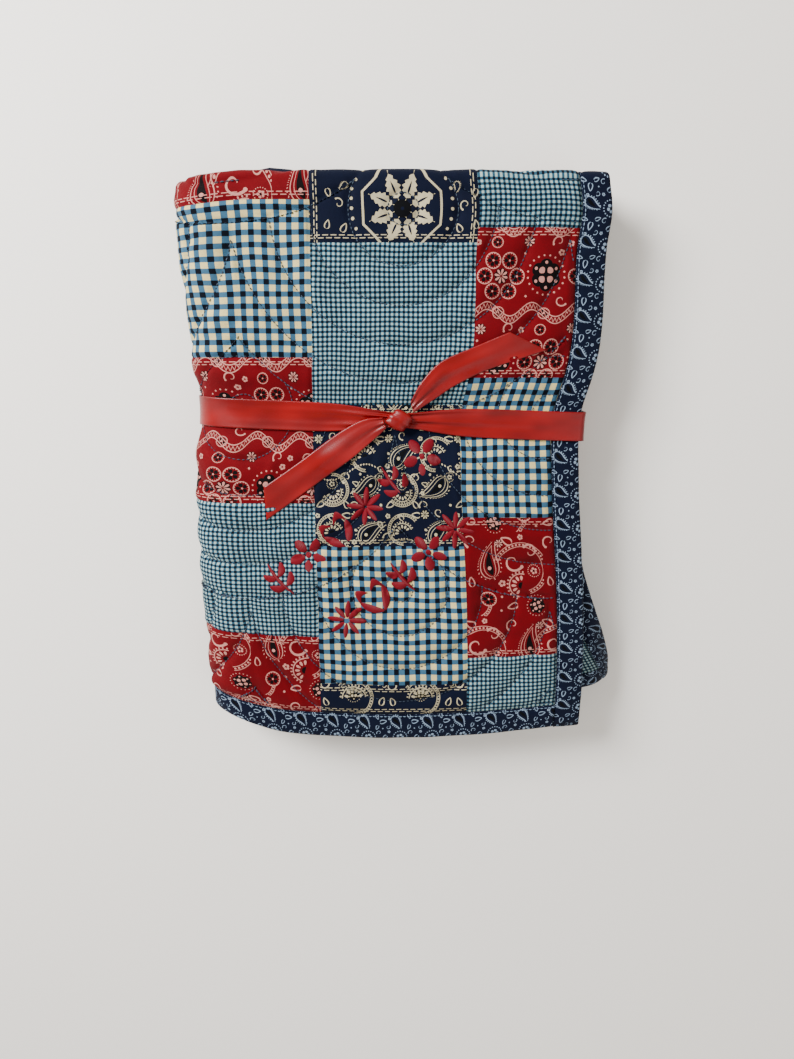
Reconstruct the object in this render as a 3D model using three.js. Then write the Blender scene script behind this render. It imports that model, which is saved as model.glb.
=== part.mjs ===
// A crib quilt, pieced from bandana and gingham blocks, quilted in fans and bound in navy.
// It is folded in half over its top end, then in quarters across, tied round with a satin
// ribbon, and lies on its back, as it is put away or given.
//
// Millimetres, +Z up, +Y towards the folded top end. The origin is under the middle of the
// bundle. Two pairs of coordinates are used. On the flat quilt, u runs from the bound edge
// that shows at the right of the front, and v from the hem that shows at the front, over the
// top fold to the other hem. In the bundle, x runs across, s up the face from the front hem,
// and d is the depth below the front face.
import * as THREE from 'three';

// Driving dimensions of the cloth and its layers
const CLOTH = 4.4;
const PITCH = 6.0;
const LAST_LAYER = 7;
const BINDING_WIDTH = 21;
const GAP = 0.4;

// Driving dimensions of the folded bundle
const FACE_LENGTH = 417;
const EDGE_X = 145;
const SECOND_EDGE_X = 139.5;
const WRAP_X = -113;
const WRAP_REACH = 34;
const RIGHT_FOLD_X = 131;
const RIGHT_FOLD_REACH = 9;
const INNER_FOLD_X = -121;
const INNER_FOLD_REACH = 3;

// Quilting: fans of stitched arcs, hanging from centres in staggered rows
const FAN = { x: 3, s: 392, width: 230, row: 135, first: 10.5, step: 26.5, arcs: 5, puff: 1.1, round: 0.7 };

// The ribbon, and how far it draws the bundle in
const RIBBON = { width: 21, thick: 1.0, x: 6, s: 249, slope: -0.038, lift: 1.5 };
const CINCH = { share: 0.13, half: 23, power: 4 };
const WAIST = { inward: 11.5, s: 246, above: 38, below: 95 };
const LEFT_PINCH = { inward: 3, half: 27 };

// The corner of the layer behind the front one, which slews out and hangs over the side
const FLAP = { from: 45, reach: 46, top: 150, power: 1.6, bendX: 140, radius: 32, lift: 31, spread: 160 };

// How full the bundle is: its crown, and how much thinner it gets at the hem and bound edge
const CROWN = { rise: 0.045, spread: 105 };
const THIN_HEM = { by: 0.09, fade: 24 };
const THIN_EDGE = { by: 0.07, fade: 20 };
const UNEVEN = { by: 0.012, acrossX: 37, startX: 1.3, alongS: 52, startS: 0.4 };

// The line of the hem: it sags in the middle and lifts to both sides, most at the left fold
const HEM = { fade: 150, perDepth: 0.2 };
const HEM_LEFT = { lift: 15, from: -70, to: -150, power: 1.4 };
const HEM_RIGHT = { lift: 5, from: 60, to: 150 };
const HEM_SAG = { drop: 6, x: -5, spread: 85 };

// The top end: its left corner drops, and the deeper layers stand up in one place
const TOP_CORNER = { drop: 4, fromX: -95, toX: -150, fromS: 330, toS: 415 };
const TOP_BUMP = { rise: 5, x: -84, spread: 17, fromDepth: 9, toDepth: 13, fromS: 395, toS: 417 };

// The sides: which part of the width moves with each, and how far
const RIGHT_SIDE = { from: -110, to: 150 };
const LEFT_SIDE = { from: -60, to: -150, drawn: 4, fromS: 270, toS: 380 };
const SHOULDER = { out: 4, s: 392, spread: 20 };
const RIPPLE = { out: 1.2, spacing: 43, start: 0.8 };

const clamp01 = (t) => Math.min(1, Math.max(0, t));
const smooth = (from, to, value) => {
  const t = clamp01((value - from) / (to - from));
  return t * t * (3 - 2 * t);
};
const mix = (a, b, t) => a + (b - a) * t;

const depthOf = (layer) => CLOTH / 2 + layer * PITCH;
const FULL_DEPTH = depthOf(LAST_LAYER) + CLOTH / 2;

// The section across the bundle, from the front bound edge to the one behind it. Each pair
// of layers is the front half of the quilt with the other half inside it, so a row gives the
// outer layer, and `inset` below moves a point from it to the inner one. `side` is -1 where
// a turn bulges to the left.
const SECTION = [
  { name: 'front quarter', layer: 0, from: EDGE_X, to: WRAP_X, cells: 8 },
  { name: 'left wrap', turnX: WRAP_X, layers: [0, 7], reach: WRAP_REACH, side: -1, cells: 8 },
  { name: 'back quarter', layer: 7, from: WRAP_X, to: RIGHT_FOLD_X, cells: 5 },
  { name: 'right fold', turnX: RIGHT_FOLD_X, layers: [7, 4], reach: RIGHT_FOLD_REACH, side: 1, cells: 6 },
  { name: 'inner quarter', layer: 4, from: RIGHT_FOLD_X, to: INNER_FOLD_X, cells: 5 },
  { name: 'inner fold', turnX: INNER_FOLD_X, layers: [4, 3], reach: INNER_FOLD_REACH, side: -1, cells: 5 },
  { name: 'second quarter', layer: 3, from: INNER_FOLD_X, to: SECOND_EDGE_X, cells: 5 },
];
// The layers whose inner partner lies deeper, not shallower
const INSET_DEEPER = new Set([0, 4]);

let along = 0;
for (const part of SECTION) {
  part.start = along;
  if (part.layers) {
    const half = Math.abs(depthOf(part.layers[1]) - depthOf(part.layers[0])) / 2;
    along += Math.PI * Math.hypot(part.reach, half) / Math.SQRT2;
  } else {
    along += Math.abs(part.to - part.from);
  }
  part.end = along;
}
const FLAT_WIDTH = along;
const TOP_RADIUS = PITCH / 2;
const FACE_RUN = FACE_LENGTH - CLOTH / 2 - TOP_RADIUS;
const FLAT_LENGTH = 2 * FACE_RUN + Math.PI * TOP_RADIUS;

const insetDepth = (layer, inset) => depthOf(layer) + (INSET_DEEPER.has(layer) ? inset : -inset);

// Where the flat coordinate u and an inset come to lie across the bundle
function across(u, inset) {
  const part = SECTION.find((row) => u <= row.end) ?? SECTION[SECTION.length - 1];
  const t = (u - part.start) / (part.end - part.start);
  if (!part.layers) {
    return { x: mix(part.from, part.to, t), d: insetDepth(part.layer, inset) };
  }
  const [d0, d1] = part.layers.map((layer) => insetDepth(layer, inset));
  const plainHalf = Math.abs(depthOf(part.layers[1]) - depthOf(part.layers[0])) / 2;
  const reach = part.reach + Math.abs(d1 - d0) / 2 - plainHalf;
  const angle = Math.PI * t;
  return {
    x: part.turnX + part.side * reach * Math.sin(angle),
    d: (d0 + d1) / 2 - (d1 - d0) / 2 * Math.cos(angle),
  };
}

// Where the flat coordinate v comes to lie up the face, and its inset from the front half
function upTheFace(v) {
  if (v <= FACE_RUN) return { s: v, inset: 0 };
  const turned = (v - FACE_RUN) / TOP_RADIUS;
  if (turned < Math.PI) {
    return { s: FACE_RUN + TOP_RADIUS * Math.sin(turned), inset: TOP_RADIUS * (1 - Math.cos(turned)) };
  }
  return { s: FLAT_LENGTH - v, inset: PITCH };
}

// How the bundle's own shape departs from a straight stack
const bandLine = (x) => RIBBON.s + RIBBON.slope * x;
const cinched = (x, s) => Math.exp(-(Math.abs((s - bandLine(x)) / CINCH.half) ** CINCH.power));
const bell = (distance, spread) => Math.exp(-((distance / spread) ** 2));
const fullness = (x, s) => 1
  + CROWN.rise * Math.cos(x / CROWN.spread) * Math.sin(Math.PI * clamp01(s / FACE_LENGTH))
  - THIN_HEM.by * Math.exp(-s / THIN_HEM.fade)
  - THIN_EDGE.by * Math.exp(-(EDGE_X - x) / THIN_EDGE.fade)
  + UNEVEN.by * Math.sin(x / UNEVEN.acrossX + UNEVEN.startX) * Math.sin(s / UNEVEN.alongS + UNEVEN.startS);

// How far a point moves up the face: hem and top end
function rise(x, s, d) {
  const hemFade = clamp01(1 - s / HEM.fade) ** 2;
  const leftLift = HEM_LEFT.lift * smooth(HEM_LEFT.from, HEM_LEFT.to, x) ** HEM_LEFT.power;
  const rightLift = HEM_RIGHT.lift * smooth(HEM_RIGHT.from, HEM_RIGHT.to, x);
  const hemSag = HEM_SAG.drop * bell(x - HEM_SAG.x, HEM_SAG.spread);
  const cornerShare = smooth(TOP_CORNER.fromX, TOP_CORNER.toX, x) * smooth(TOP_CORNER.fromS, TOP_CORNER.toS, s);
  const bumpShare = smooth(TOP_BUMP.fromDepth, TOP_BUMP.toDepth, d) * smooth(TOP_BUMP.fromS, TOP_BUMP.toS, s);
  return hemFade * (leftLift + rightLift - hemSag + HEM.perDepth * d)
    - TOP_CORNER.drop * cornerShare
    + TOP_BUMP.rise * bell(x - TOP_BUMP.x, TOP_BUMP.spread) * bumpShare;
}

function settle(x, s, d) {
  const right = smooth(RIGHT_SIDE.from, RIGHT_SIDE.to, x);
  const left = smooth(LEFT_SIDE.from, LEFT_SIDE.to, x);
  const wide = s > WAIST.s ? WAIST.above : WAIST.below;
  const waist = WAIST.inward * bell(s - WAIST.s, wide);
  const shoulder = SHOULDER.out * bell(s - SHOULDER.s, SHOULDER.spread);
  const pinch = LEFT_PINCH.inward * bell(s - bandLine(x), LEFT_PINCH.half);
  const drawn = LEFT_SIDE.drawn * smooth(LEFT_SIDE.fromS, LEFT_SIDE.toS, s);
  const ripple = RIPPLE.out * Math.sin(s / RIPPLE.spacing + RIPPLE.start);
  const outX = x + right * (shoulder - waist + ripple) + left * (pinch - drawn + ripple);
  const squeeze = 1 - CINCH.share * cinched(x, s);
  const height = FULL_DEPTH * fullness(x, s) * (0.5 + (0.5 - d / FULL_DEPTH) * squeeze);
  return new THREE.Vector3(outX, s + rise(x, s, d), height);
}

// The middle of the cloth at a point of the flat quilt
function place(u, v) {
  let { s, inset } = upTheFace(v);
  let { x, d } = across(u, inset);
  const share = (inset / PITCH) * (1 - smooth(FLAP.from, FLAP.from + FLAP.spread, u));
  if (share > 0) {
    s += FLAP.lift * share * clamp01(1 - s / FLAP.top) ** 2;
    x += share * FLAP.reach * clamp01((FLAP.top - s) / (FLAP.top - FLAP.lift)) ** FLAP.power;
    const over = Math.max(0, x - FLAP.bendX) / FLAP.radius;
    d += share * FLAP.radius * (1 - Math.cos(over));
    if (x > FLAP.bendX) x = mix(x, FLAP.bendX + FLAP.radius * Math.sin(over), share);
  }
  return settle(x, s, d);
}

// A point at a height above the middle of the cloth, towards the pieced side
const STEP = 0.4;
function offCloth(u, v, height) {
  const [u0, u1] = [Math.max(0, u - STEP), Math.min(FLAT_WIDTH, u + STEP)];
  const [v0, v1] = [Math.max(0, v - STEP), Math.min(FLAT_LENGTH, v + STEP)];
  const tangentU = place(u1, v).sub(place(u0, v));
  const tangentV = place(u, v1).sub(place(u, v0));
  const normal = tangentV.cross(tangentU).normalize();
  const { s, inset } = upTheFace(v);
  const { x } = across(u, inset);
  const thinner = fullness(x, s) * (1 - CINCH.share * cinched(x, s));
  return place(u, v).addScaledVector(normal, height * thinner);
}

// Soft puffs between the stitched arcs of the fans, on the layer that shows
const SHOWN_END = { from: 318, to: 342 };
const EDGE_FADE = 10;
const TOP_FADE = 12;
function puff(u, v) {
  const shown = 1 - smooth(SHOWN_END.from, SHOWN_END.to, u);
  const { s } = upTheFace(v);
  if (v > FACE_RUN || shown === 0) return 0;
  const x = EDGE_X - u;
  const rows = Math.ceil((FAN.s + FAN.row) / FAN.row);
  for (let row = -1; row <= rows; row += 1) {
    const centreS = FAN.s - row * FAN.row;
    const shift = FAN.x + (row % 2 === 0 ? 0 : FAN.width / 2);
    const centreX = shift + FAN.width * Math.round((x - shift) / FAN.width);
    const r = Math.hypot(x - centreX, s - centreS);
    if (r > FAN.first + FAN.arcs * FAN.step) continue;
    const [edge, clear] = [BINDING_WIDTH, BINDING_WIDTH + EDGE_FADE];
    const edges = smooth(edge, clear, u) * smooth(edge, clear, v);
    const free = 1 - cinched(x, s);
    const swell = Math.abs(Math.sin(Math.PI * (r - FAN.first) / FAN.step)) ** FAN.round;
    return FAN.puff * swell * shown * edges * free * smooth(FACE_RUN, FACE_RUN - TOP_FADE, v);
  }
  return 0;
}

// A closed mesh from named corner points, shared by their keys
class Shell {
  constructor() {
    this.positions = [];
    this.triangles = [];
    this.known = new Map();
  }

  corner(key, make) {
    if (!this.known.has(key)) {
      this.known.set(key, this.positions.length / 3);
      this.positions.push(...make().toArray());
    }
    return this.known.get(key);
  }

  // A ring of corners as a fan of triangles from its first corner
  face(ring, flip = false) {
    for (let i = 1; i < ring.length - 1; i += 1) {
      const pair = flip ? [ring[i + 1], ring[i]] : [ring[i], ring[i + 1]];
      this.triangles.push(ring[0], ...pair);
    }
  }

  geometry() {
    const geometry = new THREE.BufferGeometry();
    geometry.setAttribute('position', new THREE.Float32BufferAttribute(this.positions, 3));
    geometry.setIndex(this.triangles);
    geometry.computeVertexNormals();
    return geometry;
  }
}

// Lines of the grid across the quilt: the section's own cells, cut off at the bindings, and
// closer where the slewed corner bends over the side
const evenly = (from, to, cells) => Array.from({ length: cells }, (_, i) => mix(from, to, i / cells));
const PANEL_START = BINDING_WIDTH + GAP;
const MARGIN = 6;
const BEND_END = 56;
const uLines = [PANEL_START, ...evenly(PANEL_START + MARGIN, BEND_END, 3), ...SECTION.flatMap((part, i) => {
  const from = i === 0 ? BEND_END : part.start;
  const to = i === SECTION.length - 1 ? FLAT_WIDTH - PANEL_START : part.end;
  return evenly(from, to, part.cells);
}), FLAT_WIDTH - PANEL_START];

// Lines along it: closer where the ribbon draws the cloth in, the same up and down the back
const BAND_HALF = 38;
const halfLines = [
  PANEL_START,
  ...evenly(PANEL_START + MARGIN, RIBBON.s - BAND_HALF, 8),
  ...evenly(RIBBON.s - BAND_HALF, RIBBON.s + BAND_HALF, 6),
  ...evenly(RIBBON.s + BAND_HALF, FACE_RUN, 5),
];
const topLines = evenly(FACE_RUN, FLAT_LENGTH - FACE_RUN, 6);
const backLines = [FACE_RUN, ...halfLines.slice().reverse()].map((s) => FLAT_LENGTH - s);
const vLines = [...halfLines, ...topLines, ...backLines];

// The panel's pieced face is cut finer where its quilting shows, by REFINE each way
const REFINE = 3;
const wrapFirst = uLines.findIndex((u) => u >= SECTION[1].start);
const WRAP_CELLS_SHOWN = 5;
const shownU = (i) => i >= 1 && i < wrapFirst + WRAP_CELLS_SHOWN;
const shownV = (j) => j >= 1 && j < halfLines.length;
const isShown = (i, j) => shownU(i) && shownV(j);
const fineU = (i) => (i < wrapFirst ? 1 : REFINE);
const nearBand = (v) => Math.abs(v - RIBBON.s) < BAND_HALF - 1;
const fineV = (j) => (nearBand((vLines[j] + vLines[j + 1]) / 2) ? REFINE : 1);
const lineAt = (lines, index) => {
  const whole = Math.min(Math.floor(index / REFINE), lines.length - 2);
  return mix(lines[whole], lines[whole + 1], index / REFINE - whole);
};

function quiltPanel() {
  const shell = new Shell();
  const half = CLOTH / 2;
  const corner = (side, i, j) => shell.corner(`${side}/${i}/${j}`, () => {
    const [u, v] = [lineAt(uLines, i), lineAt(vLines, j)];
    return offCloth(u, v, side > 0 ? half + puff(u, v) : -half);
  });
  const lastU = uLines.length - 2;
  const lastV = vLines.length - 2;
  const run = (from, to, step) => {
    const count = Math.abs(to - from) / step;
    return Array.from({ length: count }, (_, n) => from + Math.sign(to - from) * step * n);
  };
  for (let i = 0; i <= lastU; i += 1) {
    for (let j = 0; j <= lastV; j += 1) {
      const [i0, i1, j0, j1] = [i, i + 1, j, j + 1].map((n) => n * REFINE);
      shell.face([corner(-1, i0, j0), corner(-1, i1, j0), corner(-1, i1, j1), corner(-1, i0, j1)]);
      if (isShown(i, j)) {
        for (let a = i0; a < i1; a += fineU(i)) {
          for (let b = j0; b < j1; b += fineV(j)) {
            const [c, e] = [a + fineU(i), b + fineV(j)];
            shell.face([corner(1, a, b), corner(1, c, b), corner(1, c, e), corner(1, a, e)], true);
          }
        }
        continue;
      }
      const below = isShown(i, j - 1) ? fineU(i) : REFINE;
      const above = isShown(i, j + 1) ? fineU(i) : REFINE;
      const before = isShown(i - 1, j) ? fineV(j) : REFINE;
      const after = isShown(i + 1, j) ? fineV(j) : REFINE;
      const ring = [
        ...run(i0, i1, below).map((a) => [a, j0]),
        ...run(j0, j1, after).map((b) => [i1, b]),
        ...run(i1, i0, above).map((a) => [a, j1]),
        ...run(j1, j0, before).map((b) => [i0, b]),
      ];
      const split = [below, after, above, before].map((step) => step < REFINE);
      const corners = [[i0, j0], [i1, j0], [i1, j1], [i0, j1]];
      const free = corners.findIndex((_, n) => !split[n] && !split[(n + 3) % 4]);
      const first = ring.findIndex(([a, b]) => a === corners[free][0] && b === corners[free][1]);
      const turned = [...ring.slice(first), ...ring.slice(0, first)];
      shell.face(turned.map(([a, b]) => corner(1, a, b)), true);
    }
  }
  for (let i = 0; i <= lastU; i += 1) {
    const [i0, i1, end] = [i * REFINE, (i + 1) * REFINE, (lastV + 1) * REFINE];
    shell.face([corner(-1, i0, 0), corner(1, i0, 0), corner(1, i1, 0), corner(-1, i1, 0)]);
    shell.face([corner(-1, i0, end), corner(1, i0, end), corner(1, i1, end), corner(-1, i1, end)], true);
  }
  for (let j = 0; j <= lastV; j += 1) {
    const [j0, j1, end] = [j * REFINE, (j + 1) * REFINE, (lastU + 1) * REFINE];
    shell.face([corner(-1, 0, j0), corner(1, 0, j0), corner(1, 0, j1), corner(-1, 0, j1)], true);
    shell.face([corner(-1, end, j0), corner(1, end, j0), corner(1, end, j1), corner(-1, end, j1)]);
  }
  return shell.geometry();
}

// A closed bar: a ring of points carried along a list of stations, with flat ends or none
function carried(stations, ringSize, pointAt, isLoop = false) {
  const shell = new Shell();
  const count = stations.length;
  const corner = (n, k) => shell.corner(`${n % count}/${k % ringSize}`, () => pointAt(stations[n % count], k % ringSize));
  for (let n = 0; n < (isLoop ? count : count - 1); n += 1) {
    for (let k = 0; k < ringSize; k += 1) {
      shell.face([corner(n, k), corner(n + 1, k), corner(n + 1, k + 1), corner(n, k + 1)]);
    }
  }
  if (!isLoop) {
    const ring = Array.from({ length: ringSize }, (_, k) => k);
    shell.face(ring.map((k) => corner(0, k)));
    shell.face(ring.map((k) => corner(count - 1, k)), true);
  }
  return shell.geometry();
}

// The binding's section: folded round the quilt's edge, `in` from the edge, `up` from the middle
const NOSE = 2;
const BINDING_RING = [
  { in: BINDING_WIDTH, up: CLOTH / 2 },
  { in: NOSE, up: CLOTH / 2 },
  { in: 0, up: 0 },
  { in: NOSE, up: -CLOTH / 2 },
  { in: BINDING_WIDTH, up: -CLOTH / 2 },
];
const sideBinding = (uOf, ring) => carried(
  [0, BINDING_WIDTH, ...vLines, FLAT_LENGTH - BINDING_WIDTH, FLAT_LENGTH],
  ring.length,
  (v, k) => offCloth(uOf(ring[k].in), v, ring[k].up),
);
const hemBinding = (vOf, ring) => carried(
  uLines,
  ring.length,
  (u, k) => offCloth(u, vOf(ring[k].in), ring[k].up),
);
const reversedRing = BINDING_RING.slice().reverse();

// The ribbon's way round the bundle, outside the layers, as x and depth
function ribbonLoop() {
  const { lift } = RIBBON;
  const front = -lift;
  const back = FULL_DEPTH + lift;
  const turn = CLOTH / 2 + lift;
  const arc = (cx, cd, rx, rd, from, to, cells) => evenly(from, to, cells)
    .map((angle) => ({ x: cx + rx * Math.cos(angle), d: cd - rd * Math.sin(angle) }));
  const half = (back - front) / 2;
  return [
    ...evenly(EDGE_X, WRAP_X, 12).map((x) => ({ x, d: front })),
    ...arc(WRAP_X, front + half, WRAP_REACH + turn, half, Math.PI / 2, Math.PI * 1.5, 12),
    ...evenly(WRAP_X, EDGE_X, 12).map((x) => ({ x, d: back })),
    ...arc(EDGE_X, back - turn, turn, turn, -Math.PI / 2, 0, 3),
    ...evenly(back - turn, front + turn, 3).map((d) => ({ x: EDGE_X + turn, d })),
    ...arc(EDGE_X, front + turn, turn, turn, 0, Math.PI / 2, 3),
  ];
}
const GATHER = { share: 0.4, spread: 20 };
const ribbonHalf = (x, d) => {
  const atKnot = bell(x - RIBBON.x, GATHER.spread) * (d < 0 ? 1 : 0);
  return RIBBON.width / 2 * (1 - GATHER.share * atKnot);
};
function ribbonBand() {
  const loop = ribbonLoop();
  const outwards = loop.map((_, n) => {
    const [a, b] = [loop[(n + loop.length - 1) % loop.length], loop[(n + 1) % loop.length]];
    const length = Math.hypot(b.x - a.x, b.d - a.d);
    return { x: (b.d - a.d) / length, d: -(b.x - a.x) / length };
  });
  const ring = [
    { along: -1, out: -0.5 },
    { along: 1, out: -0.5 },
    { along: 1, out: 0.5 },
    { along: -1, out: 0.5 },
  ];
  return carried(loop.map((_, n) => n), ring.length, (n, k) => {
    const { x, d } = loop[n];
    const s = bandLine(x) + ring[k].along * ribbonHalf(x, d);
    const out = ring[k].out * RIBBON.thick;
    return settle(x - outwards[n].x * out, s, d - outwards[n].d * out);
  }, true);
}

// The knot: a small round lump over the band, drawn in where the ends leave it
const KNOT = { across: 10, up: 8, high: 4.2, lift: 2.1, waist: 0.18, sunk: -0.9 };
function ribbonKnot() {
  const geometry = new THREE.SphereGeometry(1, 14, 8);
  geometry.rotateX(Math.PI / 2);
  const seat = settle(RIBBON.x, bandLine(RIBBON.x), -KNOT.lift);
  const points = geometry.attributes.position;
  for (let i = 0; i < points.count; i += 1) {
    const p = new THREE.Vector3().fromBufferAttribute(points, i);
    const waist = 1 - KNOT.waist * Math.abs(p.y);
    const height = KNOT.high * (1 + Math.max(p.z, KNOT.sunk));
    points.setXYZ(i, seat.x + KNOT.across * waist * p.x, seat.y + KNOT.up * p.y, seat.z + height);
  }
  return geometry;
}

// Each loose end as rows from the knot to its slanting cut: the two edges and the lift
const TAILS = {
  ribbon_tail_left: [
    { upperX: -6.5, upperS: 251, lowerX: -3.5, lowerS: 243, lift: 4.4 },
    { upperX: -22, upperS: 249, lowerX: -13, lowerS: 235, lift: 3.8 },
    { upperX: -43, upperS: 238, lowerX: -31, lowerS: 221, lift: 3.2 },
    { upperX: -70, upperS: 219, lowerX: -56, lowerS: 204, lift: 2.6 },
    { upperX: -97, upperS: 200.5, lowerX: -96, lowerS: 175.5, lift: 2.6 },
  ],
  ribbon_tail_right: [
    { upperX: 14, upperS: 262, lowerX: 17, lowerS: 254, lift: 4.4 },
    { upperX: 20, upperS: 276, lowerX: 32, lowerS: 264, lift: 3.8 },
    { upperX: 32, upperS: 290, lowerX: 46, lowerS: 274, lift: 3.2 },
    { upperX: 56, upperS: 301, lowerX: 68, lowerS: 285, lift: 2.7 },
    { upperX: 78.5, upperS: 310.5, lowerX: 106, lowerS: 298, lift: 2.7 },
  ],
};
function ribbonTail(rows, isRight) {
  const ring = [
    { edge: 'upper', out: 0.5 },
    { edge: 'lower', out: 0.5 },
    { edge: 'lower', out: -0.5 },
    { edge: 'upper', out: -0.5 },
  ];
  const order = isRight ? ring.slice().reverse() : ring;
  return carried(rows, ring.length, (row, k) => {
    const { edge, out } = order[k];
    return settle(row[`${edge}X`], row[`${edge}S`], -(row.lift + out * RIBBON.thick));
  });
}

const MATERIALS = {
  quilt: new THREE.MeshStandardMaterial({ color: 0x7fa3b8, roughness: 0.9, metalness: 0 }),
  binding: new THREE.MeshStandardMaterial({ color: 0x16233f, roughness: 0.85, metalness: 0 }),
  ribbon: new THREE.MeshStandardMaterial({ color: 0xc4101c, roughness: 0.35, metalness: 0 }),
};
const PIECES = [
  { name: 'quilt_panel', geometry: quiltPanel(), material: MATERIALS.quilt },
  { name: 'binding_side_front', geometry: sideBinding((i) => i, reversedRing), material: MATERIALS.binding },
  {
    name: 'binding_side_inner',
    geometry: sideBinding((i) => FLAT_WIDTH - i, BINDING_RING),
    material: MATERIALS.binding,
  },
  { name: 'binding_hem_front', geometry: hemBinding((i) => i, BINDING_RING), material: MATERIALS.binding },
  {
    name: 'binding_hem_inner',
    geometry: hemBinding((i) => FLAT_LENGTH - i, reversedRing),
    material: MATERIALS.binding,
  },
  { name: 'ribbon_band', geometry: ribbonBand(), material: MATERIALS.ribbon },
  { name: 'ribbon_knot', geometry: ribbonKnot(), material: MATERIALS.ribbon },
  ...Object.entries(TAILS).map(([name, rows]) => ({
    name,
    geometry: ribbonTail(rows, name.endsWith('right')),
    material: MATERIALS.ribbon,
  })),
];

const quilt = new THREE.Group();
for (const { name, geometry, material } of PIECES) {
  const mesh = new THREE.Mesh(geometry, material);
  mesh.name = name;
  quilt.add(mesh);
}

// The origin goes under the middle of the bundle
const bounds = new THREE.Box3().setFromObject(quilt);
const middle = bounds.getCenter(new THREE.Vector3());
for (const mesh of quilt.children) mesh.geometry.translate(-middle.x, -middle.y, -bounds.min.z);

export default quilt;
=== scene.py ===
# %% [markdown]
# # A folded crib quilt, tied with a ribbon
# The real thing is one sheet of pieced cotton over wadding, quilted in fans, bound in navy and
# folded into a flat bundle. It could be modelled as a box with bumps, but then its edges would
# not show layers. So every piece here is a surface worked out from the flat quilt: a function
# says where each point of the flat cloth comes to lie once it is folded.

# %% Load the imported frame
import math
from collections import namedtuple
import bpy
import numpy as np
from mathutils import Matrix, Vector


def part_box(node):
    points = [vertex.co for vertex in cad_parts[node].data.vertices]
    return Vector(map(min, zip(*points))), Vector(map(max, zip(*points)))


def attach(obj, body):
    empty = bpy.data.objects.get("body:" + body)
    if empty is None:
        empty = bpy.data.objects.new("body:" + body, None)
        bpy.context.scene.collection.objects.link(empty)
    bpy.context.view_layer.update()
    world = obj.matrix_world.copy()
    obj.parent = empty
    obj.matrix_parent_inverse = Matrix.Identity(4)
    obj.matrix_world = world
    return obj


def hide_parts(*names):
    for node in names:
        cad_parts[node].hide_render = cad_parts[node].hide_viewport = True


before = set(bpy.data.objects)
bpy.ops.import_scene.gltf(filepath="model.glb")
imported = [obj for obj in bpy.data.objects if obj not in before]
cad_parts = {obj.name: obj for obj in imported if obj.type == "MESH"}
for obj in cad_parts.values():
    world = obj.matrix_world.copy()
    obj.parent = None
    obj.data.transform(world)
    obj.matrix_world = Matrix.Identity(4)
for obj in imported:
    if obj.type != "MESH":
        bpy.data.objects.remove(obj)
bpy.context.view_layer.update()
print("CAD nodes:", sorted(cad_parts))

# %% [markdown]
# ## The fold
# On the flat quilt, u runs in from the bound edge that shows at the right of the front, and v up
# from the hem, over the top fold and down to the other hem. In the bundle, x runs across, s up
# the face and d is the depth below the front face. These are the sizes of the solids, in mm, so
# that the cloth made here lies exactly where they are.

# %% Sizes of the cloth and the bundle, in millimetres
CLOTH = 4.4
PITCH = 6.0
LAST_LAYER = 7
BINDING_WIDTH = 21
GAP = 0.4
FACE_LENGTH = 417
EDGE_X = 145
WRAP_X = -113
FULL_DEPTH = LAST_LAYER * PITCH + CLOTH
TOP_RADIUS = PITCH / 2
FACE_RUN = FACE_LENGTH - CLOTH / 2 - TOP_RADIUS
FLAT_LENGTH = 2 * FACE_RUN + math.pi * TOP_RADIUS

# Each row: the layers it joins, where it starts and ends across, or where it turns and how far
SECTION = [
    {"layers": (0, 0), "from": EDGE_X, "to": WRAP_X},
    {"layers": (0, 7), "turn": WRAP_X, "reach": 34, "side": -1},
    {"layers": (7, 7), "from": WRAP_X, "to": 131},
    {"layers": (7, 4), "turn": 131, "reach": 9, "side": 1},
    {"layers": (4, 4), "from": 131, "to": -121},
    {"layers": (4, 3), "turn": -121, "reach": 3, "side": -1},
    {"layers": (3, 3), "from": -121, "to": 139.5},
]
INSET_DEEPER = (0, 4)


def depth_of(layer, inset=0.0):
    """Depth of a layer's middle. Its partner in the pair lies `inset` deeper, or shallower."""
    sign = 1 if layer in INSET_DEEPER else -1
    return CLOTH / 2 + layer * PITCH + sign * inset


along = 0.0
for part in SECTION:
    part["start"] = along
    if "turn" in part:
        half = abs(depth_of(part["layers"][1]) - depth_of(part["layers"][0])) / 2
        along += math.pi * math.hypot(part["reach"], half) / math.sqrt(2)
    else:
        along += abs(part["to"] - part["from"])
    part["end"] = along
FLAT_WIDTH = along
print(f"flat quilt {FLAT_WIDTH:.0f} x {FLAT_LENGTH:.0f} mm")

# %% [markdown]
# ## From the flat quilt to the folded one
# Folding could be left to a cloth simulation, but eight layers in contact are slow and never
# come out the same twice. Straight runs joined by half ellipses give the section in one formula,
# and a second function then settles the neat stack into the soft, uneven bundle.

# %% The fold, as whole arrays
def smooth(start, end, value):
    """Rises from 0 at start to 1 at end, with no slope at either."""
    t = np.clip((value - start) / (end - start), 0, 1)
    return t * t * (3 - 2 * t)


def bell(value, width):
    """A soft bump: one at nought, e to the minus one at the width."""
    return np.exp(-(value / width) ** 2)


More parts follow.
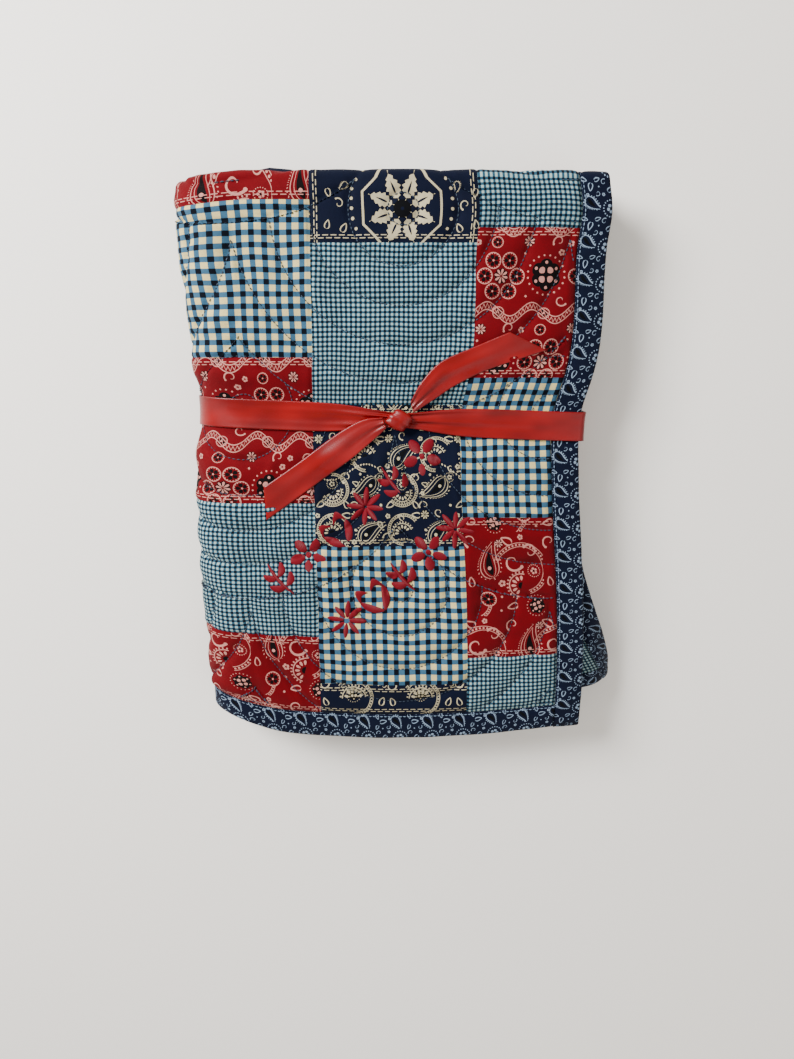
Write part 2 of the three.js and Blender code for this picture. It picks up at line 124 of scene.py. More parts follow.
def across(u, inset):
    """Across the bundle: straight runs between half ellipses, each met at its own start."""
    x, d = np.zeros_like(u), np.zeros_like(u)
    for part in SECTION:
        t = (u - part["start"]) / (part["end"] - part["start"])
        d0, d1 = (depth_of(layer, inset) for layer in part["layers"])
        if "turn" in part:
            plain = abs(depth_of(part["layers"][1]) - depth_of(part["layers"][0])) / 2
            reach = part["reach"] + np.abs(d1 - d0) / 2 - plain
            here_x = part["turn"] + part["side"] * reach * np.sin(math.pi * t)
            here_d = (d0 + d1) / 2 - (d1 - d0) / 2 * np.cos(math.pi * t)
        else:
            here_x = part["from"] + (part["to"] - part["from"]) * t
            here_d = d0
        inside = u >= part["start"]
        x, d = np.where(inside, here_x, x), np.where(inside, here_d, d)
    return x, d


def up_the_face(v):
    """Up the face, round a half circle at the top fold, and down again one pitch deeper."""
    turned = np.clip((v - FACE_RUN) / TOP_RADIUS, 0, math.pi)
    s = np.where(v <= FACE_RUN, v, FACE_RUN + TOP_RADIUS * np.sin(turned))
    s = np.where(turned >= math.pi, FLAT_LENGTH - v, s)
    return s, TOP_RADIUS * (1 - np.cos(turned))


# %% How the bundle settles, in millimetres: how much it moves, where, and over what distance
CINCH_SHARE, CINCH_HALF = 0.13, 23
CROWN_RISE, CROWN_SPREAD = 0.045, 105
HEM_THINNER, HEM_THIN_FADE, EDGE_THINNER, EDGE_THIN_FADE = 0.09, 24, 0.07, 20
UNEVEN, UNEVEN_X, UNEVEN_S = 0.012, 37, 52
HEM_FADE, HEM_PER_DEPTH = 150, 0.2
LEFT_LIFT, RIGHT_LIFT, SAG, SAG_SPREAD = 15, 5, 6, 85
TOP_CORNER_DROP, TOP_BUMP, TOP_BUMP_X, TOP_BUMP_SPREAD = 4, 5, -84, 17
WAIST, WAIST_S, WAIST_ABOVE, WAIST_BELOW = 11.5, 246, 38, 95
PINCH, PINCH_HALF, LEFT_DRAWN = 3, 27, 4
SHOULDER, SHOULDER_S, SHOULDER_SPREAD = 4, 392, 20
RIPPLE, RIPPLE_SPACING = 1.2, 43
# The slewed corner: how far it lifts and reaches out, where it starts, and how it bends down
FLAP_LIFT, FLAP_REACH, FLAP_TOP, FLAP_TIP = 31, 46, 150, 119
FLAP_FROM, FLAP_TO, BEND_X, BEND_RADIUS = 45, 205, 140, 32


def band_line(x):
    """Where the middle of the ribbon lies up the face."""
    return 249 - 0.038 * x


def cinched(x, s):
    """One under the ribbon and nought away from it."""
    return np.exp(-np.abs((s - band_line(x)) / CINCH_HALF) ** 4)


def fullness(x, s):
    """How full the bundle is: most in the middle, least at the hem and the bound edge."""
    crown = CROWN_RISE * np.cos(x / CROWN_SPREAD) * np.sin(math.pi * np.clip(s / FACE_LENGTH, 0, 1))
    at_hem = HEM_THINNER * np.exp(-s / HEM_THIN_FADE)
    at_edge = EDGE_THINNER * np.exp(-(EDGE_X - x) / EDGE_THIN_FADE)
    uneven = UNEVEN * np.sin(x / UNEVEN_X + 1.3) * np.sin(s / UNEVEN_S + 0.4)
    return 1 + crown - (at_hem + at_edge) + uneven


def settle(x, s, d):
    """The neat stack, drawn in under the ribbon, let down at the hem and rounded at the sides."""
    hem_fade = np.clip(1 - s / HEM_FADE, 0, 1) ** 2
    sides = LEFT_LIFT * smooth(-70, -150, x) ** 1.4 + RIGHT_LIFT * smooth(60, 150, x)
    lift = sides - SAG * bell(x + 5, SAG_SPREAD)
    drop = TOP_CORNER_DROP * smooth(-95, -150, x) * smooth(330, 415, s)
    bump = TOP_BUMP * bell(x - TOP_BUMP_X, TOP_BUMP_SPREAD) * smooth(9, 13, d) * smooth(395, 417, s)
    y = s + hem_fade * (lift + HEM_PER_DEPTH * d) - drop + bump
    right, left = smooth(-110, 150, x), smooth(-60, -150, x)
    waist = WAIST * np.exp(-((s - WAIST_S) / np.where(s > WAIST_S, WAIST_ABOVE, WAIST_BELOW)) ** 2)
    ripple = RIPPLE * np.sin(s / RIPPLE_SPACING + 0.8)
    pinch = PINCH * bell(s - band_line(x), PINCH_HALF) - LEFT_DRAWN * smooth(270, 380, s)
    shoulder = SHOULDER * bell(s - SHOULDER_S, SHOULDER_SPREAD)
    out_x = x + right * (shoulder - waist + ripple) + left * (pinch + ripple)
    squeeze = 1 - CINCH_SHARE * cinched(x, s)
    z = FULL_DEPTH * fullness(x, s) * (0.5 + (0.5 - d / FULL_DEPTH) * squeeze)
    return np.stack([out_x, y, z], axis=-1)


def place(u, v):
    """The middle of the cloth: fold, slew the corner out over the side, and settle."""
    s, inset = up_the_face(v)
    x, d = across(u, inset)
    share = inset / PITCH * (1 - smooth(FLAP_FROM, FLAP_TO, u))
    s = s + FLAP_LIFT * share * np.clip(1 - s / HEM_FADE, 0, 1) ** 2
    x = x + share * FLAP_REACH * np.clip((FLAP_TOP - s) / FLAP_TIP, 0, 1) ** 1.6
    over = np.maximum(0, x - BEND_X) / BEND_RADIUS
    d = d + share * BEND_RADIUS * (1 - np.cos(over))
    bent_x = BEND_X + BEND_RADIUS * np.sin(over)
    x = np.where(x > BEND_X, x + (bent_x - x) * share, x)
    return settle(x, s, d)


# The cloth's normal is measured between neighbours this far off on each side, in millimetres
STEP = 0.4


def off_cloth(u, v, height):
    """A point at a height above the middle of the cloth, along its own normal."""
    u, v = np.clip(u, 0, FLAT_WIDTH), np.clip(v, 0, FLAT_LENGTH)
    u0, u1 = np.maximum(0, u - STEP), np.minimum(FLAT_WIDTH, u + STEP)
    v0, v1 = np.maximum(0, v - STEP), np.minimum(FLAT_LENGTH, v + STEP)
    normal = np.cross(place(u, v1) - place(u, v0), place(u1, v) - place(u0, v))
    normal /= np.linalg.norm(normal, axis=-1, keepdims=True)
    s, inset = up_the_face(v)
    x, _ = across(u, inset)
    thinner = fullness(x, s) * (1 - CINCH_SHARE * cinched(x, s))
    return place(u, v) + normal * (height * thinner)[..., None]


# %% Where the bundle lies in the frame: its knot tells
KNOT_X, KNOT_LOW, KNOT_LIFT = 6.0, 0.42, 2.1
knot_seat = settle(np.array(KNOT_X), band_line(np.array(KNOT_X)), np.array(-KNOT_LIFT))
knot_lo, knot_hi = (np.array(corner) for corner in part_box("ribbon_knot"))
knot_middle = (knot_lo + knot_hi) / 2
SHIFT = knot_middle - knot_seat / 1000
SHIFT[2] = knot_lo[2] - (knot_seat[2] + KNOT_LOW) / 1000


def to_frame(points):
    """Millimetres of the bundle to metres of the frame."""
    return np.asarray(points) / 1000 + SHIFT


print("shift to the frame, in mm:", np.round(SHIFT * 1000, 2))

# %% [markdown]
# ## Quilting
# The stitched arcs hang in fans from centres in staggered rows. A normal map would only paint
# them, and the edge of the bundle would stay smooth, so each arc is a real valley in the cloth,
# with the wadding puffed up between the arcs and small puckers along the thread.

# %% Fans of arcs
FAN = {"x": 3, "s": 392, "width": 230, "row": 135, "first": 10.5, "step": 26.5}
ARCS = 5
FAN_RADIUS = FAN["first"] + ARCS * FAN["step"]
FAN_ROWS = range(-1, math.ceil((FAN["s"] + FAN["row"]) / FAN["row"]) + 1)


def fan_row(row):
    """One fan centre of a row, as (x, s). Every second row is half a fan's width along."""
    return FAN["x"] + row % 2 * FAN["width"] / 2, FAN["s"] - row * FAN["row"]


def fan_at(u, v):
    """The centre of the fan that owns each point, as (x, s), and its distance from it.
    Rows are tried from the top, and the first fan that reaches the point owns it."""
    x, s = EDGE_X - u, v
    centre_x, centre_s = np.full(np.shape(u), np.nan), np.full(np.shape(u), np.nan)
    for row in FAN_ROWS:
        shift, row_s = fan_row(row)
        near_x = shift + FAN["width"] * np.round((x - shift) / FAN["width"])
        free = np.isnan(centre_x) & (np.hypot(x - near_x, s - row_s) <= FAN_RADIUS)
        centre_x = np.where(free, near_x, centre_x)
        centre_s = np.where(free, row_s, centre_s)
    return centre_x, centre_s, np.hypot(x - centre_x, s - centre_s)


# %% Creases of the front: (x, s) of both ends, width and height in millimetres
CREASES = [
    (-128, 196, -72, 150, 5, 1.1), (-140, 172, -95, 128, 4, -0.9), (-120, 120, -62, 96, 5, 0.8),
    (-136, 330, -86, 300, 5, 0.9), (-142, 300, -108, 322, 4, -0.8), (-60, 352, -38, 300, 5, 0.7),
    (28, 352, 62, 322, 5, -0.8), (58, 250, 112, 214, 5, 0.9), (74, 120, 116, 152, 5, -0.8),
    (-20, 96, 36, 78, 6, 0.9), (-48, 178, -12, 150, 5, -0.7), (64, 398, 108, 372, 5, 0.8),
    (-108, 60, -58, 42, 5, -0.8), (100, 60, 128, 96, 4, 0.8), (-30, 402, 20, 396, 4, -0.6),
    (8, 232, 12, 186, 3.5, 0.9), (-10, 230, -22, 190, 3, -0.8), (26, 230, 36, 196, 3, 0.7),
    (-4, 270, -12, 312, 3.5, 0.8), (18, 268, 30, 300, 3, -0.8), (-88, 224, -92, 196, 3.5, 0.7),
    (-96, 278, -102, 316, 3.5, -0.7), (84, 230, 92, 196, 3.5, 0.7), (112, 266, 120, 304, 3, -0.8),
]


WAVE_COUNT = 6


def waves(u, v, seed, size):
    """Soft uneven waves: a few sines in seeded directions, about one wave per size."""
    draw = np.random.default_rng(seed)
    total = np.zeros(np.shape(u))
    for _ in range(WAVE_COUNT):
        turn, phase = draw.uniform(0, 2 * math.pi, 2)
        length = size * draw.uniform(0.7, 1.5)
        way = u * math.cos(turn) + v * math.sin(turn)
        total = total + np.sin(2 * math.pi * way / length + phase)
    return total / WAVE_COUNT


PUFF, VALLEY, PUCKER = 2.3, 0.8, 0.42
PUCKER_SPACING, CREASE_SHARE = 2.1, 1.4


def creased(u, v):
    """Soft ridges and troughs along the listed lines, fading at both ends."""
    x, s = EDGE_X - u, v
    total = np.zeros(np.shape(u))
    for x0, s0, x1, s1, width, height in CREASES:
        length = math.hypot(x1 - x0, s1 - s0)
        t = ((x - x0) * (x1 - x0) + (s - s0) * (s1 - s0)) / length**2
        off = ((x - x0) * (s1 - s0) - (s - s0) * (x1 - x0)) / length
        off = off - 2.5 * np.sin(3 * t)
        total += height * bell(off, width) * smooth(-0.05, 0.3, t) * smooth(1.05, 0.7, t)
    return total


def relief(u, v):
    """Height of the quilting above the plain cloth: puffs between arcs, a sharp valley and
    small puckers at the thread, and the listed creases. Flat where the ribbon presses."""
    centre_x, centre_s, r = fan_at(u, v)
    r = np.where(np.isnan(r), FAN["first"], r)
    phase = (r - FAN["first"]) / FAN["step"]
    from_thread = np.abs(phase - np.round(phase)) * FAN["step"]
    rise = np.abs(np.sin(math.pi * phase)) ** 0.6
    angle = np.arctan2(v - np.nan_to_num(centre_s), EDGE_X - u - np.nan_to_num(centre_x))
    pucker = np.sin(angle * r / PUCKER_SPACING + 2 * waves(u, v, 3, 60)) * np.exp(-from_thread / 4.5)
    puffs = PUFF * rise - VALLEY * bell(from_thread, 1.6) + PUCKER * pucker
    free = 1 - cinched(EDGE_X - u, np.minimum(v, FACE_RUN))
    soft = 0.8 * waves(u, v, 11, 70) + 0.4 * waves(u, v, 12, 17)
    side = 1 + 0.5 * smooth(255, 290, u) * smooth(360, 330, u)
    in_u, in_v = (smooth(BINDING_WIDTH, BINDING_WIDTH + 7, way) for way in (u, v))
    top = 1 - 0.35 * smooth(FACE_RUN - 8, FACE_RUN, v)
    return (puffs * side + soft + CREASE_SHARE * creased(u, v)) * (in_u * in_v) * free * top


# Along u: where the cloth comes round to the side that the bundle lies on, and where it goes
# out of sight between the layers
BACK_FROM, BACK_TO = 330, 360
SEEN_TO, HIDDEN_FROM = 590, 640


def lain_on(u, height):
    """The same height of relief, but pressed low where the bundle lies on it."""
    on_back = smooth(BACK_FROM, BACK_TO, u)
    return height * (1 - on_back) + (np.minimum(0.4 * height, 0.9) - 0.9) * on_back


# %% [markdown]
# ## Patchwork
# The blocks are sewn in columns, and each column starts at its own height, so that the seams
# step from one to the next. Grid lines are laid along every seam, and each face then takes the
# material of its block, so that a seam is a true edge in the cloth.

# %% The blocks
COLUMN_EDGES = [BINDING_WIDTH, *range(91, 1004, 114), FLAT_WIDTH - BINDING_WIDTH]
COLUMN_KINDS = "ABCBACACBA"
BLOCK_ROWS = {
    "A": ((67, 177, 279, 380, 485, 590, 695, 800), ("small", "rose", "big", "rope")),
    "B": ((46, 155, 259.5, 370, 475, 580, 685, 790),
          ("arches", "big", "paisley", "small", "medallion", "big", "paisley", "small")),
    "C": ((84, 188, 293, 398, 503, 608, 713), ("rose", "small", "rope", "big")),
}


def spaced(stops, steps):
    """Grid lines at every stop, with even steps between that are never longer than asked."""
    lines = [np.linspace(a, b, max(1, math.ceil((b - a) / step)), endpoint=False)
             for a, b, step in zip(stops[:-1], stops[1:], steps)]
    return np.append(np.concatenate(lines), stops[-1])


def seam_groove(u, v):
    """A narrow groove at each seam of the patchwork, with the cloth a little full beside it."""
    edge = np.min([np.abs(u - line) for line in COLUMN_EDGES], axis=0)
    for index, kind in enumerate(COLUMN_KINDS):
        inside = (u >= COLUMN_EDGES[index]) & (u < COLUMN_EDGES[index + 1])
        rows = np.min([np.abs(v - line) for line in BLOCK_ROWS[kind][0]], axis=0)
        edge = np.where(inside, np.minimum(edge, rows), edge)
    return 0.35 * bell(edge - 3.5, 2.5) - 0.7 * bell(edge, 1.0)


# %% [markdown]
# ## The quilted sheet
# Its pieced side is the finest grid, because every stitch valley shows there. The backing has
# every fourth line of the same grid, and strips of seven-sided faces close the edges between.

# %% Helpers that make meshes
RESTS_AT = 0.0002


def mesh_object(name, points, faces):
    """A mesh object from points in metres and a list of face index lists. Cloth that would
    bulge below the surface it lies on is pressed flat just above it."""
    points = np.array(points)
    points[:, 2] = np.maximum(points[:, 2], RESTS_AT)
    mesh = bpy.data.meshes.new(name)
    mesh.from_pydata(points, [], faces)
    mesh.polygons.foreach_set("use_smooth", np.full(len(mesh.polygons), True))
    made = bpy.data.objects.new(name, mesh)
    bpy.context.scene.collection.objects.link(made)
    return made


def grid_faces(rows, columns, first=0, flip=False):
    """Quads of a grid whose points are numbered row by row."""
    index = first + np.arange(rows * columns).reshape(rows, columns)
    quads = np.stack([index[:-1, :-1], index[:-1, 1:], index[1:, 1:], index[1:, :-1]], axis=-1)
    quads = quads.reshape(-1, 4)
    return quads[:, ::-1] if flip else quads


def tube_faces(count, around, first=0, is_loop=False, flip=False):
    """Faces of a tube whose points are numbered ring by ring: quads between the rings, and a
    many-sided face over each end, unless the last ring meets the first."""
    index = first + np.arange(count * around).reshape(count, around)
    rows = np.concatenate([index, index[:1]]) if is_loop else index
    ahead = np.roll(rows, -1, axis=1)
    faces = np.stack([rows[:-1], rows[1:], ahead[1:], ahead[:-1]], axis=-1).reshape(-1, 4).tolist()
    if not is_loop:
        faces += [index[0].tolist(), index[-1, ::-1].tolist()]
    return [face[::-1] for face in faces] if flip else faces


def corners_of(made):
    """The number of the point that each face corner stands on."""
    numbers = np.empty(len(made.data.loops), dtype=int)
    made.data.loops.foreach_get("vertex_index", numbers)
    return numbers


def set_uv(made, flat, name="Flat"):
    """Writes flat coordinates, one pair per face corner, in metres, into a UV map."""
    layer = made.data.uv_layers.new(name=name)
    layer.data.foreach_set("uv", np.asarray(flat, dtype=np.float32).ravel())


# %% Lines of the sheet's grid
PANEL_START = BINDING_WIDTH + GAP
PANEL_END = FLAT_WIDTH - PANEL_START
BACKING_STRIDE = 4
FINE, MEDIUM, COARSE = 1.75, 3.2, 13.0
SMALL_FOLD_STEP, TOP_FOLD_STEP = 0.6, 0.8
turn_starts = [part["start"] for part in SECTION[1:]]
u_stops = sorted({PANEL_START, PANEL_END, *COLUMN_EDGES[1:-1], *turn_starts})


def u_step(at):
    """Fine on the front and its left fold, medium on the back, coarse in the inner quarters,
    and finest round the small fold between them."""
    if at < SECTION[2]["start"] - 1:
        return FINE
    if at < SECTION[4]["start"] - 1:
        return MEDIUM
    in_turn = SECTION[5]["start"] - 1 < at < SECTION[6]["start"] - 1
    return SMALL_FOLD_STEP if in_turn else COARSE


row_stops = {row for rows, _ in BLOCK_ROWS.values() for row in rows}
v_stops = sorted({PANEL_START, FACE_RUN, FLAT_LENGTH - FACE_RUN, FLAT_LENGTH - PANEL_START, *row_stops})


def v_step(at):
    """Fine up the front, finer still over the top fold, and coarse down the hidden half."""
    if at < FACE_RUN - 1:
        return FINE
    return TOP_FOLD_STEP if at < FLAT_LENGTH - FACE_RUN - 1 else COARSE


def padded_to(lines, stride):
    """Splits a few of the widest gaps, so that the number of cells is a multiple of the stride."""
    while (len(lines) - 1) % stride:
        widest = np.argmax(np.diff(lines))
        lines = np.insert(lines, widest + 1, lines[widest:widest + 2].mean())
    return lines


u_lines = padded_to(spaced(u_stops, [u_step(at) for at in u_stops]), BACKING_STRIDE)
v_lines = padded_to(spaced(v_stops, [v_step(at) for at in v_stops]), BACKING_STRIDE)
print("pieced side:", len(u_lines), "x", len(v_lines), "lines")


# %% The sheet itself
def quilt_sheet():
    """Pieced side and backing at half the cloth's thickness from its middle, joined all round."""
    u, v = np.meshgrid(u_lines, v_lines, indexing="ij")
    seen = (1 - smooth(SEEN_TO, HIDDEN_FROM, u)) * (1 - smooth(FACE_RUN + 2, FACE_RUN + 9, v))
    height = CLOTH / 2 + seen * lain_on(u, relief(u, v) + seam_groove(u, v))
    front = off_cloth(u, v, height).reshape(-1, 3)
    coarse_u, coarse_v = (way[::BACKING_STRIDE, ::BACKING_STRIDE] for way in (u, v))
    back = off_cloth(coarse_u, coarse_v, np.full(coarse_u.shape, -CLOTH / 2)).reshape(-1, 3)
    count_u, count_v = u.shape
    small_u, small_v = coarse_u.shape
    first = len(front)
    pieced = grid_faces(count_u, count_v)
    backing = grid_faces(small_u, small_v, first, flip=True)
    fine = np.arange(first).reshape(count_u, count_v)
    rough = first + np.arange(len(back)).reshape(small_u, small_v)
    rims = []
    for fine_edge, rough_edge, flip in (
        (fine[:, 0], rough[:, 0], False), (fine[:, -1], rough[:, -1], True),
        (fine[0], rough[0], True), (fine[-1], rough[-1], False),
    ):
        starts = np.arange(0, len(fine_edge) - 1, BACKING_STRIDE)
        wide = fine_edge[starts[:, None] + np.arange(BACKING_STRIDE + 1)]
        ring = np.concatenate([wide, rough_edge[1:, None], rough_edge[:-1, None]], axis=1)
        rims.append(ring[:, ::-1] if flip else ring)
    faces = pieced.tolist() + backing.tolist() + [row for ring in rims for row in ring.tolist()]
    made = mesh_object("quilt_sheet", to_frame(np.concatenate([front, back])), faces)
    return made, len(pieced), [np.append(fine, rough) for fine, rough in ((u, coarse_u), (v, coarse_v))]


quilt, pieced_count, (flat_u, flat_v) = quilt_sheet()
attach(quilt, "root")
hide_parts("quilt_panel")
print("quilt sheet faces:", len(quilt.data.polygons))

# %% [markdown]
# ## Which print each block has
# A material index per face says which cloth it is cut from, and the UV map holds the place on
# that cloth in metres. Each block starts its print somewhere else, as cut blocks do, and soft
# waves in the map bend the checks a little, as quilting does.

# %% Materials by block, and the flat map
PRINTS = ("small", "big", "rose", "rope", "paisley", "arches", "medallion", "backing")
PRINT_BEND = 0.9


def block_of(u, v):
    """For each place: the print's index, and the lower corner of its block."""
    print_index = np.zeros(u.shape, dtype=int)
    corner_u, corner_v = np.zeros(u.shape), np.zeros(u.shape)
    for column, kind in enumerate(COLUMN_KINDS):
        low, high = COLUMN_EDGES[column], COLUMN_EDGES[column + 1]
        rows, prints = BLOCK_ROWS[kind]
        edges = (0, *rows, FLAT_LENGTH)
        for row in range(len(edges) - 1):
            here = (u >= low) & (u < high) & (v >= edges[row]) & (v < edges[row + 1])
            print_index = np.where(here, PRINTS.index(prints[row % len(prints)]), print_index)
            corner_u = np.where(here, high, corner_u)
            corner_v = np.where(here, edges[row], corner_v)
    return print_index, corner_u, corner_v


def dress_sheet(made):
    """Gives each face its print, and each face corner its place on the print."""
    mesh = made.data
    starts, totals = np.empty((2, len(mesh.polygons)), dtype=int)
    mesh.polygons.foreach_get("loop_start", starts)
    mesh.polygons.foreach_get("loop_total", totals)
    corner_u, corner_v = flat_u[corners_of(made)], flat_v[corners_of(made)]
    middle_u, middle_v = (np.add.reduceat(way, starts) / totals for way in (corner_u, corner_v))
    print_index, block_u, block_v = block_of(middle_u, middle_v)
    other_side = np.arange(len(print_index)) >= pieced_count
    print_index[other_side] = PRINTS.index("backing")
    block_u[other_side] = block_v[other_side] = 0
    mesh.polygons.foreach_set("material_index", print_index)
    bent_u = corner_u + PRINT_BEND * waves(corner_u, corner_v, 21, 48)
    bent_v = corner_v + PRINT_BEND * waves(corner_u, corner_v, 22, 48)
    local_u = np.repeat(block_u, totals) - bent_u
    local_v = bent_v - np.repeat(block_v, totals)
    set_uv(made, np.stack([local_u, local_v], axis=-1) / 1000)
    # Distances to the block's own four sides, so that a corner on a seam reads nought
    column = np.clip(np.searchsorted(COLUMN_EDGES, middle_u) - 1, 0, len(COLUMN_KINDS) - 1)
    low, high = (np.repeat(np.array(COLUMN_EDGES)[column + k], totals) for k in (0, 1))
    tops = np.full(len(middle_u), FLAT_LENGTH - BINDING_WIDTH)
    bottoms = np.full(len(middle_u), float(BINDING_WIDTH))
    for kind in BLOCK_ROWS:
        rows = np.array([BINDING_WIDTH, *BLOCK_ROWS[kind][0], FLAT_LENGTH - BINDING_WIDTH])
        of_kind = np.array([k == kind for k in COLUMN_KINDS])[column]
        row = np.clip(np.searchsorted(rows, middle_v) - 1, 0, len(rows) - 2)
        bottoms, tops = np.where(of_kind, rows[row], bottoms), np.where(of_kind, rows[row + 1], tops)
    to_side = np.minimum(corner_u - low, high - corner_u)
    to_end = np.minimum(corner_v - np.repeat(bottoms, totals), np.repeat(tops, totals) - corner_v)
    set_uv(made, np.stack([to_side, to_end], axis=-1) / 1000, "Seam")


dress_sheet(quilt)

# %% [markdown]
# ## The binding
# A strip of navy cotton is folded over the raw edge and stitched down. Its section is a long
# flat loop with a round nose, and that ring is carried along each of the four sides.

# %% Binding strips
NOSE, NOSE_CELLS = 2.2, 6
STITCH_LINE = BINDING_WIDTH - 1.6


def binding_ring():
    """(distance in from the edge, height) round the strip: top, nose and underside."""
    flat = np.linspace(BINDING_WIDTH, NOSE, 11)
    turn = np.linspace(math.pi / 2, -math.pi / 2, NOSE_CELLS + 1)[1:-1]
    nose = np.stack([NOSE * (1 - np.cos(turn)), CLOTH / 2 * np.sin(turn)], axis=-1)
    top = np.stack([flat, np.full(flat.shape, CLOTH / 2)], axis=-1)
    under = np.stack([flat[::-2], np.full(flat[::-2].shape, -CLOTH / 2)], axis=-1)
    return np.concatenate([top, nose, under])


def binding_strip(name, stations, is_side, far):
    """The ring carried along the edge of the quilt. Small puckers run in from the stitching."""
    ring = binding_ring()
    run, deep = np.meshgrid(stations, ring[:, 0], indexing="ij")
    height = np.broadcast_to(ring[:, 1], run.shape)
    limit = FLAT_WIDTH if is_side else FLAT_LENGTH
    edge = limit - deep if far else deep
    u, v = (edge, run) if is_side else (run, edge)
    pucker = waves(run, deep * 0.4, 31, 13) * smooth(0, 8, deep) + 0.8 * waves(run, deep * 0.2, 32, 34)
    swell = 0.45 * np.sin(math.pi * np.clip(deep / BINDING_WIDTH, 0, 1)) + 0.6 * pucker
    stitched = -0.6 * bell(deep - STITCH_LINE, 0.9)
    x, _ = across(u, np.zeros_like(u))
    pressed = 1 - cinched(x, np.minimum(v, FACE_RUN)) * (v < FACE_RUN)
    proud = (swell + stitched) * pressed
    rests = (u > BACK_FROM) & (v < FACE_RUN)
    points = off_cloth(u, v, height + np.sign(height) * np.where(rests, 0.0, proud))
    faces = tube_faces(len(stations), len(ring), flip=is_side != far)
    made = mesh_object(name, to_frame(points.reshape(-1, 3)), faces)
    lengths = np.append(0, np.cumsum(np.linalg.norm(np.diff(ring, axis=0), axis=1)))
    flat = np.stack(np.broadcast_arrays(run, lengths), axis=-1).reshape(-1, 2) / 1000
    set_uv(made, flat[corners_of(made)])
    return made


corner_cells = np.array([0, 7, 14])
side_stations = np.concatenate([corner_cells, v_lines, FLAT_LENGTH - corner_cells[::-1]])
BINDINGS = {
    "binding_side_front": (side_stations, True, False),
    "binding_side_inner": (side_stations, True, True),
    "binding_hem_front": (u_lines, False, False),
    "binding_hem_inner": (u_lines, False, True),
}
bindings = []
for node_name, (stations, is_side, far) in BINDINGS.items():
    strip = binding_strip(node_name.replace("binding", "bound"), stations, is_side, far)
    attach(strip, "root")
    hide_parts(node_name)
    bindings.append(strip)
    print(strip.name, len(strip.data.polygons), "faces")

# %% [markdown]
# ## The ribbon
# A satin ribbon goes once round the bundle and is tied in a flat knot, with two loose ends. It
# could be a flat band with a pleated normal map, but the light on satin comes from its real
# folds, so each part is a thin closed strip on the path of its solid, pleated near the knot.

# %% A closed strip from rings of points
def carried(name, rings, is_loop=False, flip=False):
    """Joins rings, an array of (station, round, xyz), into a closed tube, and returns it with
    a flat map of (distance along, distance round) in metres."""
    faces = tube_faces(*rings.shape[:2], is_loop=is_loop, flip=flip)
    made = mesh_object(name, to_frame(rings.reshape(-1, 3)), faces)
    middle = rings.mean(axis=1)
    run = np.append(0, np.cumsum(np.linalg.norm(np.diff(middle, axis=0), axis=1)))
    girth = np.append(0, np.cumsum(np.linalg.norm(np.diff(rings, axis=1), axis=2).mean(axis=0)))
    flat = np.stack(np.meshgrid(run, girth, indexing="ij"), axis=-1).reshape(-1, 2) / 1000
    set_uv(made, flat[corners_of(made)])
    return made


def both_faces(places):
    """The places across a thin strip, out over its face and back along its underside, and the
    side that each is on: one for the face and minus one for the underside."""
    return np.concatenate([places, places[::-1]]), np.repeat([1.0, -1.0], len(places))


# %% The band round the bundle
RIBBON_WIDTH, RIBBON_LIFT, SATIN = 21, 1.5, 0.5
WRAP_REACH = SECTION[1]["reach"]
KNOT_GATHER, PLEAT, SMALL_PLEAT = 34, 1.25, 0.6


def band_path(cells):
    """The ribbon's way round, outside the layers: flat front, round the fold, flat back, and
    round the bound edge. Returned as evenly spaced x, d and the direction outwards."""
    turn = CLOTH / 2 + RIBBON_LIFT
    back = FULL_DEPTH + RIBBON_LIFT
    half = (back + RIBBON_LIFT) / 2
    wrap = np.linspace(math.pi / 2, 1.5 * math.pi, 60)
    low, high = np.linspace(-math.pi / 2, 0, 12), np.linspace(0, math.pi / 2, 12)
    x = np.concatenate([[EDGE_X], WRAP_X + (WRAP_REACH + turn) * np.cos(wrap), [EDGE_X],
                        EDGE_X + turn * np.cos(low), EDGE_X + turn * np.cos(high)])
    d = np.concatenate([[-RIBBON_LIFT], half - RIBBON_LIFT - half * np.sin(wrap), [back],
                        back - turn - turn * np.sin(low), turn - RIBBON_LIFT - turn * np.sin(high)])
    length = np.append(0, np.cumsum(np.hypot(np.diff(x), np.diff(d))))
    even = np.linspace(0, length[-1], cells, endpoint=False)
    x, d = np.interp(even, length, x), np.interp(even, length, d)
    along_x, along_d = np.roll(x, -1) - np.roll(x, 1), np.roll(d, -1) - np.roll(d, 1)
    size = np.hypot(along_x, along_d)
    return x, d, along_d / size, -along_x / size


def ribbon_band():
    """Rings across the ribbon at each station, with pleats that deepen towards the knot."""
    x, d, out_x, out_d = (row[:, None] for row in band_path(420))
    w, side = both_faces(np.linspace(-1, 1, 23))
    near = bell(x - KNOT_X, KNOT_GATHER) * (d < 0)
    half = RIBBON_WIDTH / 2 * (1 - 0.5 * near)
    fan_out = np.exp(-np.abs(x - KNOT_X) / KNOT_GATHER) * (d < 0)
    large = PLEAT * np.sin(7.5 * w + 1.2 * np.sign(x - KNOT_X))
    pleats = fan_out * (large + SMALL_PLEAT * np.sin(14 * w + 2))
    slack = 0.6 * waves(x + 0 * w, 9 * w + 0 * x, 41, 48) * (d < 0)
    s = band_line(x) + w * half
    out = side * SATIN / 2 + pleats + slack + 1.1 * fan_out
    return settle(x - out_x * out, s + 0 * out, d - out_d * out)


band = carried("satin_band", ribbon_band(), is_loop=True, flip=True)
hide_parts("ribbon_band")

